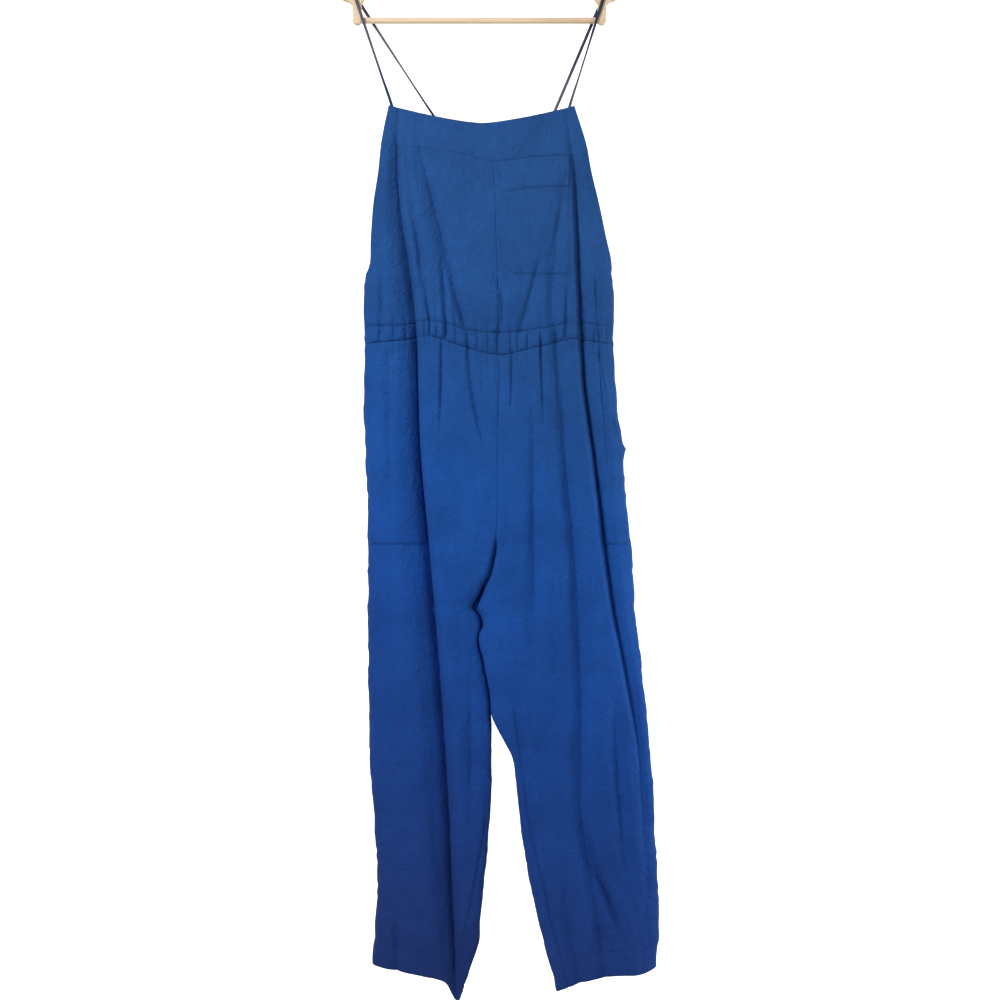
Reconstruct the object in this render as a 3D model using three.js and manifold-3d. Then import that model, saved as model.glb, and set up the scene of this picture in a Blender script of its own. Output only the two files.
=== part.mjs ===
// Linen jumpsuit hanging by two thin straps from a wooden coat hanger.
// Millimetres, +Z up, front towards -Y. "drop" is the distance below the origin, so z = -drop.
// The origin is the inside top of the hanger's hook, where a rail holds it.
import * as THREE from "three";
import { mergeVertices } from "three/addons/utils/BufferGeometryUtils.js";
import Module from "manifold-3d";

const wasm = await Module();
wasm.setup();

// Driving dimensions
const CLOTH = 1.5; // wall of one layer of linen
const CASING_WALL = 2.6; // doubled linen round the waist elastic
const SEAM = 0.3; // gap between pieces that are sewn together
const HALF_SEAM = SEAM / 2;
const WAIST_SEAM = 0.4; // half the gap beside the casing, whose puckers have closer lines than the panels
const ROUNDING = 0.35; // how boxy a section is: 0.5 is an ellipse, less is flatter
const SHARE_OF_DEPTH = 0.8; // the deepest that a fold may reach into the section

const NECK = { corner: 334, dip: 28, centre: 5, halfWidth: 145, power: 1.4 };
const BACK_NECK = { corner: 375, dip: 7, centre: 25, halfWidth: 82, power: 2 };
const UNDERARM = 575; // drop where the armholes end and the side seams begin
const WAIST = 700; // nominal drop of the seam under the casing
const FORK = 1012; // where the crotch seam starts to turn under
const CROTCH = 1108; // lowest point of the crotch seam
const HEM = 1680; // nominal drop of the hems

// How far the slanted seams steer the rows of the walls: drops where their pull ends or begins.
const BAND_PULL_ENDS = 600;
const WAIST_PULL_ENDS = 900;
const HEM_PULL_BEGINS = 1480;

// How far the armhole's edge turns in: its share at the strap, and how late the rest comes.
const ARMHOLE_TURN = { atStrap: 0.12, power: 1.5 };

// Outline of the whole garment: left and right edges, and depth to the front and back of the side seams.
const OUTLINE = [
  { drop: 334, left: -140, right: 146, front: 15, back: 12 },
  { drop: 393, left: -151, right: 164, front: 23, back: 15 },
  { drop: 440, left: -156, right: 173, front: 28, back: 19 },
  { drop: 486, left: -163, right: 184, front: 32, back: 24 },
  { drop: 532, left: -167, right: 194, front: 36, back: 29 },
  { drop: 575, left: -170, right: 204, front: 40, back: 33 },
  { drop: 610, left: -178, right: 207, front: 43, back: 36 },
  { drop: 645, left: -179, right: 209, front: 44, back: 37 },
  { drop: 700, left: -177, right: 208, front: 41, back: 36 },
  { drop: 790, left: -179, right: 213, front: 50, back: 43 },
  { drop: 873, left: -177, right: 222, front: 53, back: 45 },
  { drop: 943, left: -174, right: 226, front: 53, back: 45 },
  { drop: 1015, left: -173, right: 235, front: 50, back: 43 },
  { drop: 1108, left: -172, right: 241, front: 46, back: 41 },
  { drop: 1190, left: -172, right: 250, front: 43, back: 39 },
  { drop: 1290, left: -171, right: 260, front: 41, back: 37 },
  { drop: 1380, left: -168, right: 268, front: 39, back: 35 },
  { drop: 1430, left: -163, right: 270, front: 38, back: 34 },
  { drop: 1486, left: -159, right: 274, front: 38, back: 34 },
  { drop: 1540, left: -159, right: 275, front: 38, back: 34 },
  { drop: 1594, left: -162, right: 277, front: 39, back: 34 },
  { drop: 1660, left: -166, right: 273, front: 40, back: 34 },
  { drop: 1710, left: -168, right: 271, front: 40, back: 34 },
];

// Armhole edges of the back bodice, from the strap ends to the underarms.
const BACK_ARMHOLE = [
  { drop: 375, left: -57, right: 107 },
  { drop: 410, left: -76, right: 124 },
  { drop: 450, left: -103, right: 146 },
  { drop: 495, left: -134, right: 172 },
  { drop: 540, left: -159, right: 194 },
  { drop: 575, left: -170, right: 204 },
];

// The seam at the centre front and back, then the inseams of the two legs and how far forward each leg hangs.
const INNER = [
  { drop: 334, left: 5, right: 5, forwardLeft: 0, forwardRight: 0 },
  { drop: 425, left: 21, right: 21, forwardLeft: 0, forwardRight: 0 },
  { drop: 570, left: 27, right: 27, forwardLeft: 0, forwardRight: 0 },
  { drop: 700, left: 31, right: 31, forwardLeft: 0, forwardRight: 0 },
  { drop: 873, left: 28, right: 28, forwardLeft: 0, forwardRight: 0 },
  { drop: 960, left: 28, right: 28, forwardLeft: 0, forwardRight: 0 },
  { drop: 1015, left: 24, right: 24, forwardLeft: 0, forwardRight: 0 },
  { drop: 1050, left: 17, right: 17, forwardLeft: 0, forwardRight: 0 },
  { drop: 1080, left: 5, right: 5, forwardLeft: 0, forwardRight: 0 },
  { drop: 1108, left: -8, right: -8, forwardLeft: 0, forwardRight: 0 },
  { drop: 1150, left: -1, right: -1, forwardLeft: -2, forwardRight: 3 },
  { drop: 1190, left: 6, right: 6, forwardLeft: -3, forwardRight: 6 },
  { drop: 1226, left: 14, right: 14, forwardLeft: -3, forwardRight: 8 },
  { drop: 1252, left: 17, right: 18, forwardLeft: -3, forwardRight: 8 },
  { drop: 1287, left: 19, right: 25, forwardLeft: -2, forwardRight: 8 },
  { drop: 1340, left: 19, right: 51, forwardLeft: 0, forwardRight: 7 },
  { drop: 1378, left: 19, right: 56, forwardLeft: 1, forwardRight: 6 },
  { drop: 1424, left: 17, right: 61, forwardLeft: 2, forwardRight: 5 },
  { drop: 1486, left: 13, right: 70, forwardLeft: 2, forwardRight: 4 },
  { drop: 1532, left: 7, right: 77, forwardLeft: 2, forwardRight: 4 },
  { drop: 1594, left: 1, right: 91, forwardLeft: 2, forwardRight: 4 },
  { drop: 1630, left: -2, right: 100, forwardLeft: 2, forwardRight: 4 },
  { drop: 1672, left: -17, right: 112, forwardLeft: 2, forwardRight: 4 },
  { drop: 1712, left: -28, right: 122, forwardLeft: 2, forwardRight: 4 },
];

// The three longest folds run the whole length of the front, so they are also lines of the wall's grid.
const LONG_FOLDS = [
  { drop: 334, left: -124, middle: 118, right: 132 },
  { drop: 425, left: -126, middle: 124, right: 146 },
  { drop: 494, left: -121, middle: 125, right: 149 },
  { drop: 560, left: -111, middle: 118, right: 151 },
  { drop: 641, left: -100, middle: 111, right: 154 },
  { drop: 700, left: -96, middle: 118, right: 157 },
  { drop: 768, left: -94, middle: 126, right: 161 },
  { drop: 873, left: -90, middle: 132, right: 175 },
  { drop: 1005, left: -78, middle: 145, right: 191 },
  { drop: 1095, left: -70, middle: 151, right: 203 },
  { drop: 1216, left: -60, middle: 156, right: 226 },
  { drop: 1330, left: -52, middle: 157, right: 245 },
  { drop: 1430, left: -46, middle: 158, right: 251 },
  { drop: 1530, left: -42, middle: 174, right: 256 },
  { drop: 1640, left: -37, middle: 190, right: 255 },
  { drop: 1712, left: -35, middle: 196, right: 252 },
];

// The next longest folds, which are grid lines too: first of the bodice, then of the trousers' front and back.
const BODICE_LINES = [
  { drop: 334, left: -100, right: 98 },
  { drop: 393, left: -94, right: 101 },
  { drop: 537, left: -55, right: 101 },
  { drop: 600, left: -40, right: 85 },
  { drop: 700, left: -16, right: 60 },
];
const LEG_LINES = [
  { drop: 690, left: -57, right: 82, backLeft: -104, backRight: 160 },
  { drop: 819, left: -59, right: 82, backLeft: -99, backRight: 167 },
  { drop: 1000, left: -48, right: 84, backLeft: -91, backRight: 181 },
  { drop: 1150, left: -28, right: 88, backLeft: -82, backRight: 198 },
  { drop: 1290, left: -14, right: 93, backLeft: -73, backRight: 213 },
  { drop: 1420, left: -14, right: 106, backLeft: -68, backRight: 219 },
  { drop: 1540, left: -17, right: 128, backLeft: -64, backRight: 222 },
  { drop: 1640, left: -20, right: 145, backLeft: -61, backRight: 224 },
  { drop: 1712, left: -31.5, right: 158, backLeft: -58, backRight: 226 },
];

// Slanted openings of the side pockets, in from the side seams. Below them the lines run on to the hem.
const POCKET_OPENINGS = [
  { drop: 690, left: 17, right: 28 },
  { drop: 800, left: 11, right: 14 },
  { drop: 890, left: 6, right: 5 },
  { drop: 1712, left: 6, right: 5 },
];

// Depth of the longest folds and the reach of their slope on the side away from the middle.
const LONG_DEPTHS = [
  { drop: 334, left: 1, leftOut: 8, middle: 0, right: 1, rightOut: 8 },
  { drop: 393, left: 6, leftOut: 14, middle: 1, right: 5, rightOut: 14 },
  { drop: 486, left: 14, leftOut: 26, middle: 4, right: 18, rightOut: 22 },
  { drop: 600, left: 24, leftOut: 40, middle: 8, right: 26, rightOut: 28 },
  { drop: 700, left: 26, leftOut: 46, middle: 9, right: 26, rightOut: 28 },
  { drop: 800, left: 32, leftOut: 52, middle: 10, right: 30, rightOut: 28 },
  { drop: 1000, left: 33, leftOut: 54, middle: 13, right: 31, rightOut: 26 },
  { drop: 1200, left: 32, leftOut: 52, middle: 13, right: 22, rightOut: 20 },
  { drop: 1350, left: 30, leftOut: 50, middle: 12, right: 8, rightOut: 14 },
  { drop: 1500, left: 29, leftOut: 48, middle: 8, right: 2, rightOut: 12 },
  { drop: 1620, left: 22, leftOut: 44, middle: 6, right: 0, rightOut: 10 },
  { drop: 1712, left: 9, leftOut: 40, middle: 5, right: 0, rightOut: 10 },
];
// Reach of their slope on the side nearer the middle, and how far that slope leans over them.
const LONG_INNER_REACH = { left: 15, middle: 24, right: 18 };
const LONG_OUTER_REACH_MIDDLE = 20;
// The lean is whole at folds of fullDepth, and fades where the section is thinner than thin.
const LEAN = { left: 7, right: 3, fullDepth: 30, thin: 20 };

// Shorter folds of the front: where each starts, bends and ends, its depth, and its reach to each side.
const FRONT_FOLDS = [
  { top: 385, bottom: 700, xTop: -96, xMid: -55, xEnd: -16, depth: 12, left: 24, right: 11, fadeEnd: 0.1 },
  { top: 425, bottom: 690, xTop: -111, xMid: -92, xEnd: -72, depth: 6, left: 10, right: 9, fadeEnd: 0.1 },
  { top: 555, bottom: 700, xTop: -58, xMid: -53, xEnd: -48, depth: 7, left: 9, right: 9, fadeEnd: 0.1 },
  { top: 585, bottom: 700, xTop: 18, xMid: 36, xEnd: 27, depth: 6, left: 12, right: 9, fadeEnd: 0.1 },
  { top: 530, bottom: 700, xTop: 103, xMid: 82, xEnd: 60, depth: 9, left: 12, right: 16, fadeEnd: 0.1 },
  { top: 600, bottom: 700, xTop: 136, xMid: 134, xEnd: 132, depth: 5, left: 8, right: 8, fadeEnd: 0.1 },
  { top: 560, bottom: 700, xTop: -150, xMid: -150, xEnd: -148, depth: 5, left: 10, right: 10, fadeEnd: 0.1 },
  { top: 560, bottom: 700, xTop: 176, xMid: 180, xEnd: 182, depth: 5, left: 9, right: 9, fadeEnd: 0.1 },
  { top: 690, bottom: 860, xTop: -57, xMid: -58, xEnd: -60, depth: 8, left: 10, right: 12, fadeTop: 0.1 },
  { top: 690, bottom: 900, xTop: -16, xMid: -7, xEnd: 22, depth: 9, left: 12, right: 12, fadeTop: 0.1 },
  { top: 700, bottom: 830, xTop: 52, xMid: 50, xEnd: 48, depth: 5, left: 8, right: 8, fadeTop: 0.1 },
  { top: 720, bottom: 1290, xTop: 82, xMid: 84, xEnd: 92, depth: 13, left: 22, right: 26 },
  { top: 690, bottom: 850, xTop: 94, xMid: 97, xEnd: 100, depth: 6, left: 8, right: 9, fadeTop: 0.1 },
  { top: 700, bottom: 960, xTop: 182, xMid: 192, xEnd: 205, depth: 5, left: 8, right: 9, fadeTop: 0.1 },
  { top: 700, bottom: 1000, xTop: -140, xMid: -138, xEnd: -136, depth: 6, left: 14, right: 16, fadeTop: 0.1 },
  { top: 1180, bottom: 1420, xTop: 47, xMid: 66, xEnd: 88, depth: 8, left: 14, right: 16 },
  { top: 1430, bottom: 1640, xTop: 152, xMid: 190, xEnd: 238, depth: 11, left: 20, right: 14 },
  { top: 1500, bottom: 1712, xTop: 128, xMid: 140, xEnd: 162, depth: 9, left: 16, right: 16, fadeEnd: 0 },
  { top: 1200, bottom: 1560, xTop: 205, xMid: 215, xEnd: 232, depth: 9, left: 16, right: 16 },
  { top: 1560, bottom: 1712, xTop: -128, xMid: -127, xEnd: -124, depth: 8, left: 16, right: 18, fadeEnd: 0 },
  { top: 1150, bottom: 1500, xTop: -14, xMid: -12, xEnd: -16, depth: 6, left: 18, right: 16 },
];

// Folds of the back, which hangs as the front does.
const BACK_FOLDS = [
  { top: 470, bottom: 1340, xTop: -112, xMid: -96, xEnd: -70, depth: 27, left: 26, right: 22 },
  { top: 480, bottom: 1300, xTop: 152, xMid: 172, xEnd: 214, depth: 26, left: 22, right: 26 },
  { top: 430, bottom: 760, xTop: -62, xMid: -54, xEnd: -50, depth: 9, left: 15, right: 15 },
  { top: 470, bottom: 790, xTop: -14, xMid: -8, xEnd: -6, depth: 8, left: 14, right: 14 },
  { top: 490, bottom: 880, xTop: 52, xMid: 60, xEnd: 64, depth: 8, left: 15, right: 14 },
  { top: 450, bottom: 900, xTop: 108, xMid: 106, xEnd: 112, depth: 9, left: 15, right: 15 },
  { top: 700, bottom: 1250, xTop: -24, xMid: -32, xEnd: -44, depth: 10, left: 20, right: 18 },
  { top: 740, bottom: 1380, xTop: 88, xMid: 98, xEnd: 116, depth: 13, left: 24, right: 22 },
  { top: 760, bottom: 1420, xTop: 136, xMid: 150, xEnd: 170, depth: 9, left: 18, right: 18 },
  { top: 1160, bottom: 1712, xTop: -81, xMid: -68, xEnd: -58, depth: 15, left: 28, right: 22, fadeEnd: 0 },
  { top: 1300, bottom: 1712, xTop: -128, xMid: -124, xEnd: -120, depth: 9, left: 20, right: 20, fadeEnd: 0 },
  { top: 1250, bottom: 1712, xTop: -34, xMid: -38, xEnd: -48, depth: 12, left: 20, right: 20, fadeEnd: 0 },
  { top: 1330, bottom: 1712, xTop: 118, xMid: 146, xEnd: 158, depth: 12, left: 22, right: 22, fadeEnd: 0 },
  { top: 1240, bottom: 1712, xTop: 214, xMid: 222, xEnd: 226, depth: 14, left: 22, right: 24, fadeEnd: 0 },
];

// Seams that cross the front: the top band's lower edge, the waist casing's two edges, and the hems.
const BAND_SEAM = [
  { x: -160, drop: 396 },
  { x: -90, drop: 401 },
  { x: -33, drop: 409 },
  { x: 22, drop: 422 },
  { x: 87, drop: 415 },
  { x: 165, drop: 412 },
];
const FRONT_CASING = [
  { x: -180, top: 674, bottom: 702 },
  { x: -122, top: 675, bottom: 698 },
  { x: -78, top: 668, bottom: 692 },
  { x: -46, top: 674, bottom: 700.5 },
  { x: -19, top: 682, bottom: 709.5 },
  { x: 12, top: 687, bottom: 718 },
  { x: 35, top: 687, bottom: 721 },
  { x: 60, top: 685, bottom: 716 },
  { x: 92, top: 681, bottom: 708 },
  { x: 127, top: 674, bottom: 699 },
  { x: 154, top: 670, bottom: 696 },
  { x: 180, top: 674, bottom: 701 },
  { x: 212, top: 676, bottom: 704 },
];
const BACK_CASING = [
  { x: -180, top: 674, bottom: 702 },
  { x: -80, top: 671, bottom: 700 },
  { x: 25, top: 680, bottom: 710 },
  { x: 120, top: 672, bottom: 701 },
  { x: 212, top: 676, bottom: 704 },
];
const LEFT_HEM = [
  { x: -170, drop: 1658 },
  { x: -130, drop: 1664 },
  { x: -86, drop: 1672 },
  { x: -50, drop: 1683 },
  { x: -32, drop: 1702 },
  { x: -14, drop: 1686 },
];
const RIGHT_HEM = [
  { x: 112, drop: 1700 },
  { x: 134, drop: 1690 },
  { x: 158, drop: 1681 },
  { x: 207, drop: 1671 },
  { x: 246, drop: 1670 },
  { x: 276, drop: 1660 },
];

// Puckers of the elastic waist: how many cross the front or back, their depth and their uneven spacing.
const PUCKERS = { count: 19, linesEach: 5, depth: 3.2, drift: 0.3, driftTurns: 3 };

// Patches on the front, by the x and drop of their edges.
const CHEST_POCKET = { left: 28, right: 138, bottom: 597, cornerCut: 26 };
const CHEST_FLAP = { left: 34, bottom: 470 };
const SIDE_POCKET_BOTTOM = 1012;

// Straps: half the ribbon's width and thickness, how far it is sewn down inside the top edges and how far
// behind them, its clearance over the arm, and the shape of its bend there.
const STRAP = {
  halfWidth: 2.5,
  halfThick: 0.9,
  sewn: 20,
  inside: 3.8,
  clear: 0.7,
  overArm: 8.3,
  bend: 4,
  bendPower: 4,
  leavesArm: 6,
};
// Where each strap meets the front and back edges, and how far it drifts sideways on the arm.
const STRAP_ENDS = { left: { frontX: -135, backX: -52 }, right: { frontX: 139, backX: 101 } };
const STRAP_DRIFT = { frontSewn: 2, backSewn: 4, frontArm: 1.5, backArm: 2.5 };

// Hanger
const HANGER = {
  thickness: 12,
  bevel: 2,
  barRadius: 4.6,
  barDrop: 200,
  earInner: 183,
  socketDepth: 7,
  notch: 195,
  notchDrop: 155,
  neckDrop: 78,
  wireRadius: 2,
  hookRadius: 22,
};

// A smooth function through one column of a table, by its key column.
function through(rows, key, column) {
  const slope = (i, j) => (rows[j][column] - rows[i][column]) / (rows[j][key] - rows[i][key]);
  const last = rows.length - 1;
  const tangent = (i) => slope(Math.max(i - 1, 0), Math.min(i + 1, last));
  return (at) => {
    if (at <= rows[0][key]) return rows[0][column];
    if (at >= rows[last][key]) return rows[last][column];
    const i = rows.findIndex((row) => row[key] > at) - 1;
    const span = rows[i + 1][key] - rows[i][key];
    const t = (at - rows[i][key]) / span;
    const t2 = t * t;
    const t3 = t2 * t;
    return (
      rows[i][column] * (2 * t3 - 3 * t2 + 1) +
      rows[i + 1][column] * (3 * t2 - 2 * t3) +
      span * (tangent(i) * (t3 - 2 * t2 + t) + tangent(i + 1) * (t3 - t2))
    );
  };
}

const { clamp, smoothstep, lerp } = THREE.MathUtils;
const outline = {
  left: through(OUTLINE, "drop", "left"),
  right: through(OUTLINE, "drop", "right"),
  front: through(OUTLINE, "drop", "front"),
  back: through(OUTLINE, "drop", "back"),
};
const backArmhole = {
  left: through(BACK_ARMHOLE, "drop", "left"),
  right: through(BACK_ARMHOLE, "drop", "right"),
};
const inner = { left: through(INNER, "drop", "left"), right: through(INNER, "drop", "right") };
const forward = { left: through(INNER, "drop", "forwardLeft"), right: through(INNER, "drop", "forwardRight") };
const longFold = {
  left: through(LONG_FOLDS, "drop", "left"),
  middle: through(LONG_FOLDS, "drop", "middle"),
  right: through(LONG_FOLDS, "drop", "right"),
};
const bodiceLine = {
  left: through(BODICE_LINES, "drop", "left"),
  right: through(BODICE_LINES, "drop", "right"),
};
const legLine = {
  frontLeft: through(LEG_LINES, "drop", "left"),
  frontRight: through(LEG_LINES, "drop", "right"),
  backLeft: through(LEG_LINES, "drop", "backLeft"),
  backRight: through(LEG_LINES, "drop", "backRight"),
};
const pocketOpening = {
  left: through(POCKET_OPENINGS, "drop", "left"),
  right: through(POCKET_OPENINGS, "drop", "right"),
};
const longDepth = {
  left: through(LONG_DEPTHS, "drop", "left"),
  middle: through(LONG_DEPTHS, "drop", "middle"),
  right: through(LONG_DEPTHS, "drop", "right"),
};
const outerReach = {
  left: through(LONG_DEPTHS, "drop", "leftOut"),
  right: through(LONG_DEPTHS, "drop", "rightOut"),
};
const casing = {
  front: { top: through(FRONT_CASING, "x", "top"), bottom: through(FRONT_CASING, "x", "bottom") },
  back: { top: through(BACK_CASING, "x", "top"), bottom: through(BACK_CASING, "x", "bottom") },
};
const hem = { left: through(LEFT_HEM, "x", "drop"), right: through(RIGHT_HEM, "x", "drop") };
const bandSeam = through(BAND_SEAM, "x", "drop");
const neckEdge = (neck) => (x) =>
  neck.corner + neck.dip * (1 - Math.min(Math.abs(x - neck.centre) / neck.halfWidth, 1) ** neck.power);
const neckline = { front: neckEdge(NECK), back: neckEdge(BACK_NECK) };

// Outer edge of a side of the front or back at a drop.
function outerEdge(face, side, drop) {
  return face === "back" && drop < UNDERARM ? backArmhole[side](drop) : outline[side](drop);
}

// How far a section has turned in at its outer end: slightly at the strap, wholly at the side seam.
function outerClosure(face, drop) {
  const top = face === "back" ? BACK_NECK.corner : NECK.corner;
  const t = clamp((drop - top) / (UNDERARM - top), 0, 1);
  return ARMHOLE_TURN.atStrap + (1 - ARMHOLE_TURN.atStrap) * t ** ARMHOLE_TURN.power;
}

// The same at the inner end: not at all along the centre seam, wholly along the inseam.
// Between them the seam is a quarter of an ellipse, seen from the side.
function innerClosure(drop) {
  const t = clamp((drop - FORK) / (CROTCH - FORK), 0, 1);
  return Math.acos((1 - t * t) ** (1 / (4 * ROUNDING))) / (Math.PI / 2);
}

// One fold's slope, from 1 at its line to 0 at its reach.
function slopeOf(offset, reachLeft, reachRight) {
  const u = Math.abs(offset) / (offset < 0 ? reachLeft : reachRight);
  return u >= 1 ? 0 : (1 - u ** 1.4) ** 2;
}

// A quadratic through a fold's top, middle and bottom.
function foldLine(fold, t) {
  return (
    fold.xTop * (1 - t) * (1 - 2 * t) + fold.xMid * 4 * t * (1 - t) + fold.xEnd * t * (2 * t - 1)
  );
}

// Depth of the shorter folds at a point. A fold fades in and out over a share of its length.
const FADE = 0.45;
function shortFolds(folds, x, drop) {
  let depth = 0;
  for (const fold of folds) {
    const t = (drop - fold.top) / (fold.bottom - fold.top);
    if (t <= 0 || t >= 1) continue;
    const fadeTop = fold.fadeTop ?? FADE;
    const fadeEnd = fold.fadeEnd ?? FADE;
    const ends = smoothstep(t, 0, fadeTop) * (fadeEnd > 0 ? smoothstep(1 - t, 0, fadeEnd) : 1);
    depth += fold.depth * ends * slopeOf(x - foldLine(fold, t), fold.left, fold.right);
  }
  return depth;
}

function longFolds(x, drop) {
  const reach = LONG_INNER_REACH;
  return (
    longDepth.left(drop) * slopeOf(x - longFold.left(drop), outerReach.left(drop), reach.left) +
    longDepth.middle(drop) *
      slopeOf(x - longFold.middle(drop), reach.middle, LONG_OUTER_REACH_MIDDLE) +
    longDepth.right(drop) * slopeOf(x - longFold.right(drop), reach.right, outerReach.right(drop))
  );
}

// How far the cloth beside a long fold leans over it, as a shift in x.
function leanOf(x, drop) {
  const over = (offset, reach) =>
    offset > 0 && offset < reach ? 4 * (offset / reach) * (1 - offset / reach) : 0;
  const strength = (side) => Math.min(longDepth[side](drop) / LEAN.fullDepth, 1);
  return (
    -LEAN.left * strength("left") * over(x - longFold.left(drop), LONG_INNER_REACH.left) +
    LEAN.right * strength("right") * over(longFold.right(drop) - x, LONG_INNER_REACH.right)
  );
}

// A point of the cloth's outer face, on one side of the centre seam or in one leg.
function clothPoint(face, side, x, drop, pucker = 0) {
  const outerX = outerEdge(face, side, drop);
  const innerX = inner[side](drop);
  const sinOuter = Math.sin((Math.PI / 2) * outerClosure(face, drop));
  const sinInner = Math.sin((Math.PI / 2) * innerClosure(drop));
  const radius = Math.abs(innerX - outerX) / (sinOuter + sinInner);
  const middle = outerX + (side === "left" ? 1 : -1) * radius * sinOuter;
  const s = clamp((x - middle) / radius, -1, 1);
  const base = outline[face](drop) * (1 - s * s) ** ROUNDING;
  const folds =
    face === "front"
      ? longFolds(x, drop) + shortFolds(FRONT_FOLDS, x, drop)
      : shortFolds(BACK_FOLDS, x, drop);
  const room = SHARE_OF_DEPTH * base;
  const depth = base - (room > 0 ? room * Math.tanh((folds + pucker) / room) : 0);
  const y = -forward[side](drop) + (face === "front" ? -1 : 1) * (HALF_SEAM + depth);
  const shift = face === "front" ? leanOf(x, drop) * Math.tanh(base / LEAN.thin) : 0;
  return new THREE.Vector3(x + shift, y, -drop);
}

// Lines across a piece: shares of the way from each guide line to the next, closer together near the guides.
const CROWDING = 0.7;
function columnsOf(counts) {
  return counts.flatMap((count, guide) =>
    Array.from({ length: count + (guide === counts.length - 1 ? 1 : 0) }, (_, i) => ({
      guide,
      share: lerp(i / count, smoothstep(i / count, 0, 1), CROWDING),
    })),
  );
}

// A grid of points. guides(drop) gives the x of each guide line, from left to right.
// dropAt(row, x) gives the drop of a row at an x, and pointAt(x, drop) the point there.
function gridOf({ rows, columns, guides, dropAt, pointAt }) {
  const points = rows.map((row) =>
    columns.map(({ guide, share }) => {
      let drop = row;
      let x = 0;
      for (let pass = 0; pass < 4; pass++) {
        const lines = guides(drop);
        x = lines[guide] + (lines[guide + 1] - lines[guide]) * share;
        drop = dropAt(row, x);
      }
      return pointAt(x, drop);
    }),
  );
  return { points, normals: normalsOf(points) };
}

// Unit normals of a grid of points, by central differences.
function normalsOf(points) {
  const rows = points.length;
  const columns = points[0].length;
  return points.map((line, j) =>
    line.map((_, i) => {
      const across = points[j][Math.min(i + 1, columns - 1)].clone().sub(points[j][Math.max(i - 1, 0)]);
      const down = points[Math.min(j + 1, rows - 1)][i].clone().sub(points[Math.max(j - 1, 0)][i]);
      return down.cross(across).normalize();
    }),
  );
}

// The back's grids are read from the front, so their faces and normals are turned round.
function facingBack(grid) {
  grid.normals.flat().forEach((n) => n.negate());
  return { ...grid, inward: true };
}

// Keeps a wall's edges square to the seams they meet. ends are left and right: "side", "centre" or "open".
function squareEdges(grid, face, ends) {
  const { normals } = grid;
  const out = face === "front" ? -1 : 1;
  const lastColumn = normals[0].length - 1;
  normals.forEach((line, j) => {
    line.forEach((n, i) => {
      if (n.y * out < 0 && i > 1 && i < lastColumn - 1) n.negate();
      if (j === 0 || j === normals.length - 1) n.z = 0;
    });
    [0, lastColumn].forEach((i, end) => {
      const n = line[i];
      const outward = end === 0 ? -1 : 1;
      const drop = -grid.points[j][i].z;
      if (ends[end] === "side" && drop > UNDERARM - 1) n.set(outward, 0, 0);
      else n.x = outward * Math.max(n.x * outward, 0);
    });
    line.forEach((n) => n.normalize());
  });
  return grid;
}

// A closed wall between two distances out from a grid's points, on the cells that keep(column, row) allows.
// cut(column, row) keeps only the lower half of a cell.
function wallOf(grid, from, to, keep = () => true, cut = () => false) {
  const rows = grid.points.length;
  const columns = grid.points[0].length;
  const triangles = [];
  for (let j = 0; j + 1 < rows; j++) {
    for (let i = 0; i + 1 < columns; i++) {
      if (!keep(i, j)) continue;
      const a = j * columns + i;
      const [b, c, d] = [a + 1, a + columns + 1, a + columns];
      triangles.push([a, c, b]);
      if (!cut(i, j)) triangles.push([a, d, c]);
    }
  }
  const flipped = grid.inward ? triangles.map(([a, b, c]) => [a, c, b]) : triangles;
  const vertexOf = new Map();
  const position = [];
  const vertex = (index, distance, layer) => {
    const key = index * 2 + layer;
    if (!vertexOf.has(key)) {
      const j = Math.floor(index / columns);
      const i = index % columns;
      const p = grid.points[j][i].clone().addScaledVector(grid.normals[j][i], distance);
      vertexOf.set(key, position.length / 3);
      position.push(p.x, p.y, p.z);
    }
    return vertexOf.get(key);
  };
  const index = [];
  const edges = new Map();
  for (const [a, b, c] of flipped) {
    index.push(vertex(a, to, 1), vertex(b, to, 1), vertex(c, to, 1));
    index.push(vertex(a, from, 0), vertex(c, from, 0), vertex(b, from, 0));
    for (const [p, q] of [[a, b], [b, c], [c, a]]) {
      if (edges.has(`${q} ${p}`)) edges.delete(`${q} ${p}`);
      else edges.set(`${p} ${q}`, [p, q]);
    }
  }
  for (const [p, q] of edges.values()) {
    index.push(vertex(p, to, 1), vertex(p, from, 0), vertex(q, to, 1));
    index.push(vertex(q, to, 1), vertex(p, from, 0), vertex(q, from, 0));
  }
  const geometry = new THREE.BufferGeometry();
  geometry.setAttribute("position", new THREE.Float32BufferAttribute(position, 3));
  geometry.setIndex(index);
  geometry.computeVertexNormals();
  return geometry;
}

// Materials
const linen = new THREE.MeshStandardMaterial({ color: 0x234f8c, roughness: 0.9, metalness: 0 });
const strapCloth = new THREE.MeshStandardMaterial({ color: 0x232c4a, roughness: 0.85, metalness: 0 });
const beech = new THREE.MeshStandardMaterial({ color: 0xd8b98c, roughness: 0.5, metalness: 0 });
const steel = new THREE.MeshStandardMaterial({ color: 0xb9bcc0, roughness: 0.25, metalness: 1 });

const jumpsuit = new THREE.Group();
const hanger = new THREE.Group();

function addPiece(group, name, geometry, material) {
  const mesh = new THREE.Mesh(geometry, material);
  mesh.name = name;
  group.add(mesh);
}

// Evenly spaced numbers from one to another.
const spread = (from, to, steps) => Array.from({ length: steps + 1 }, (_, i) => lerp(from, to, i / steps));

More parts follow.
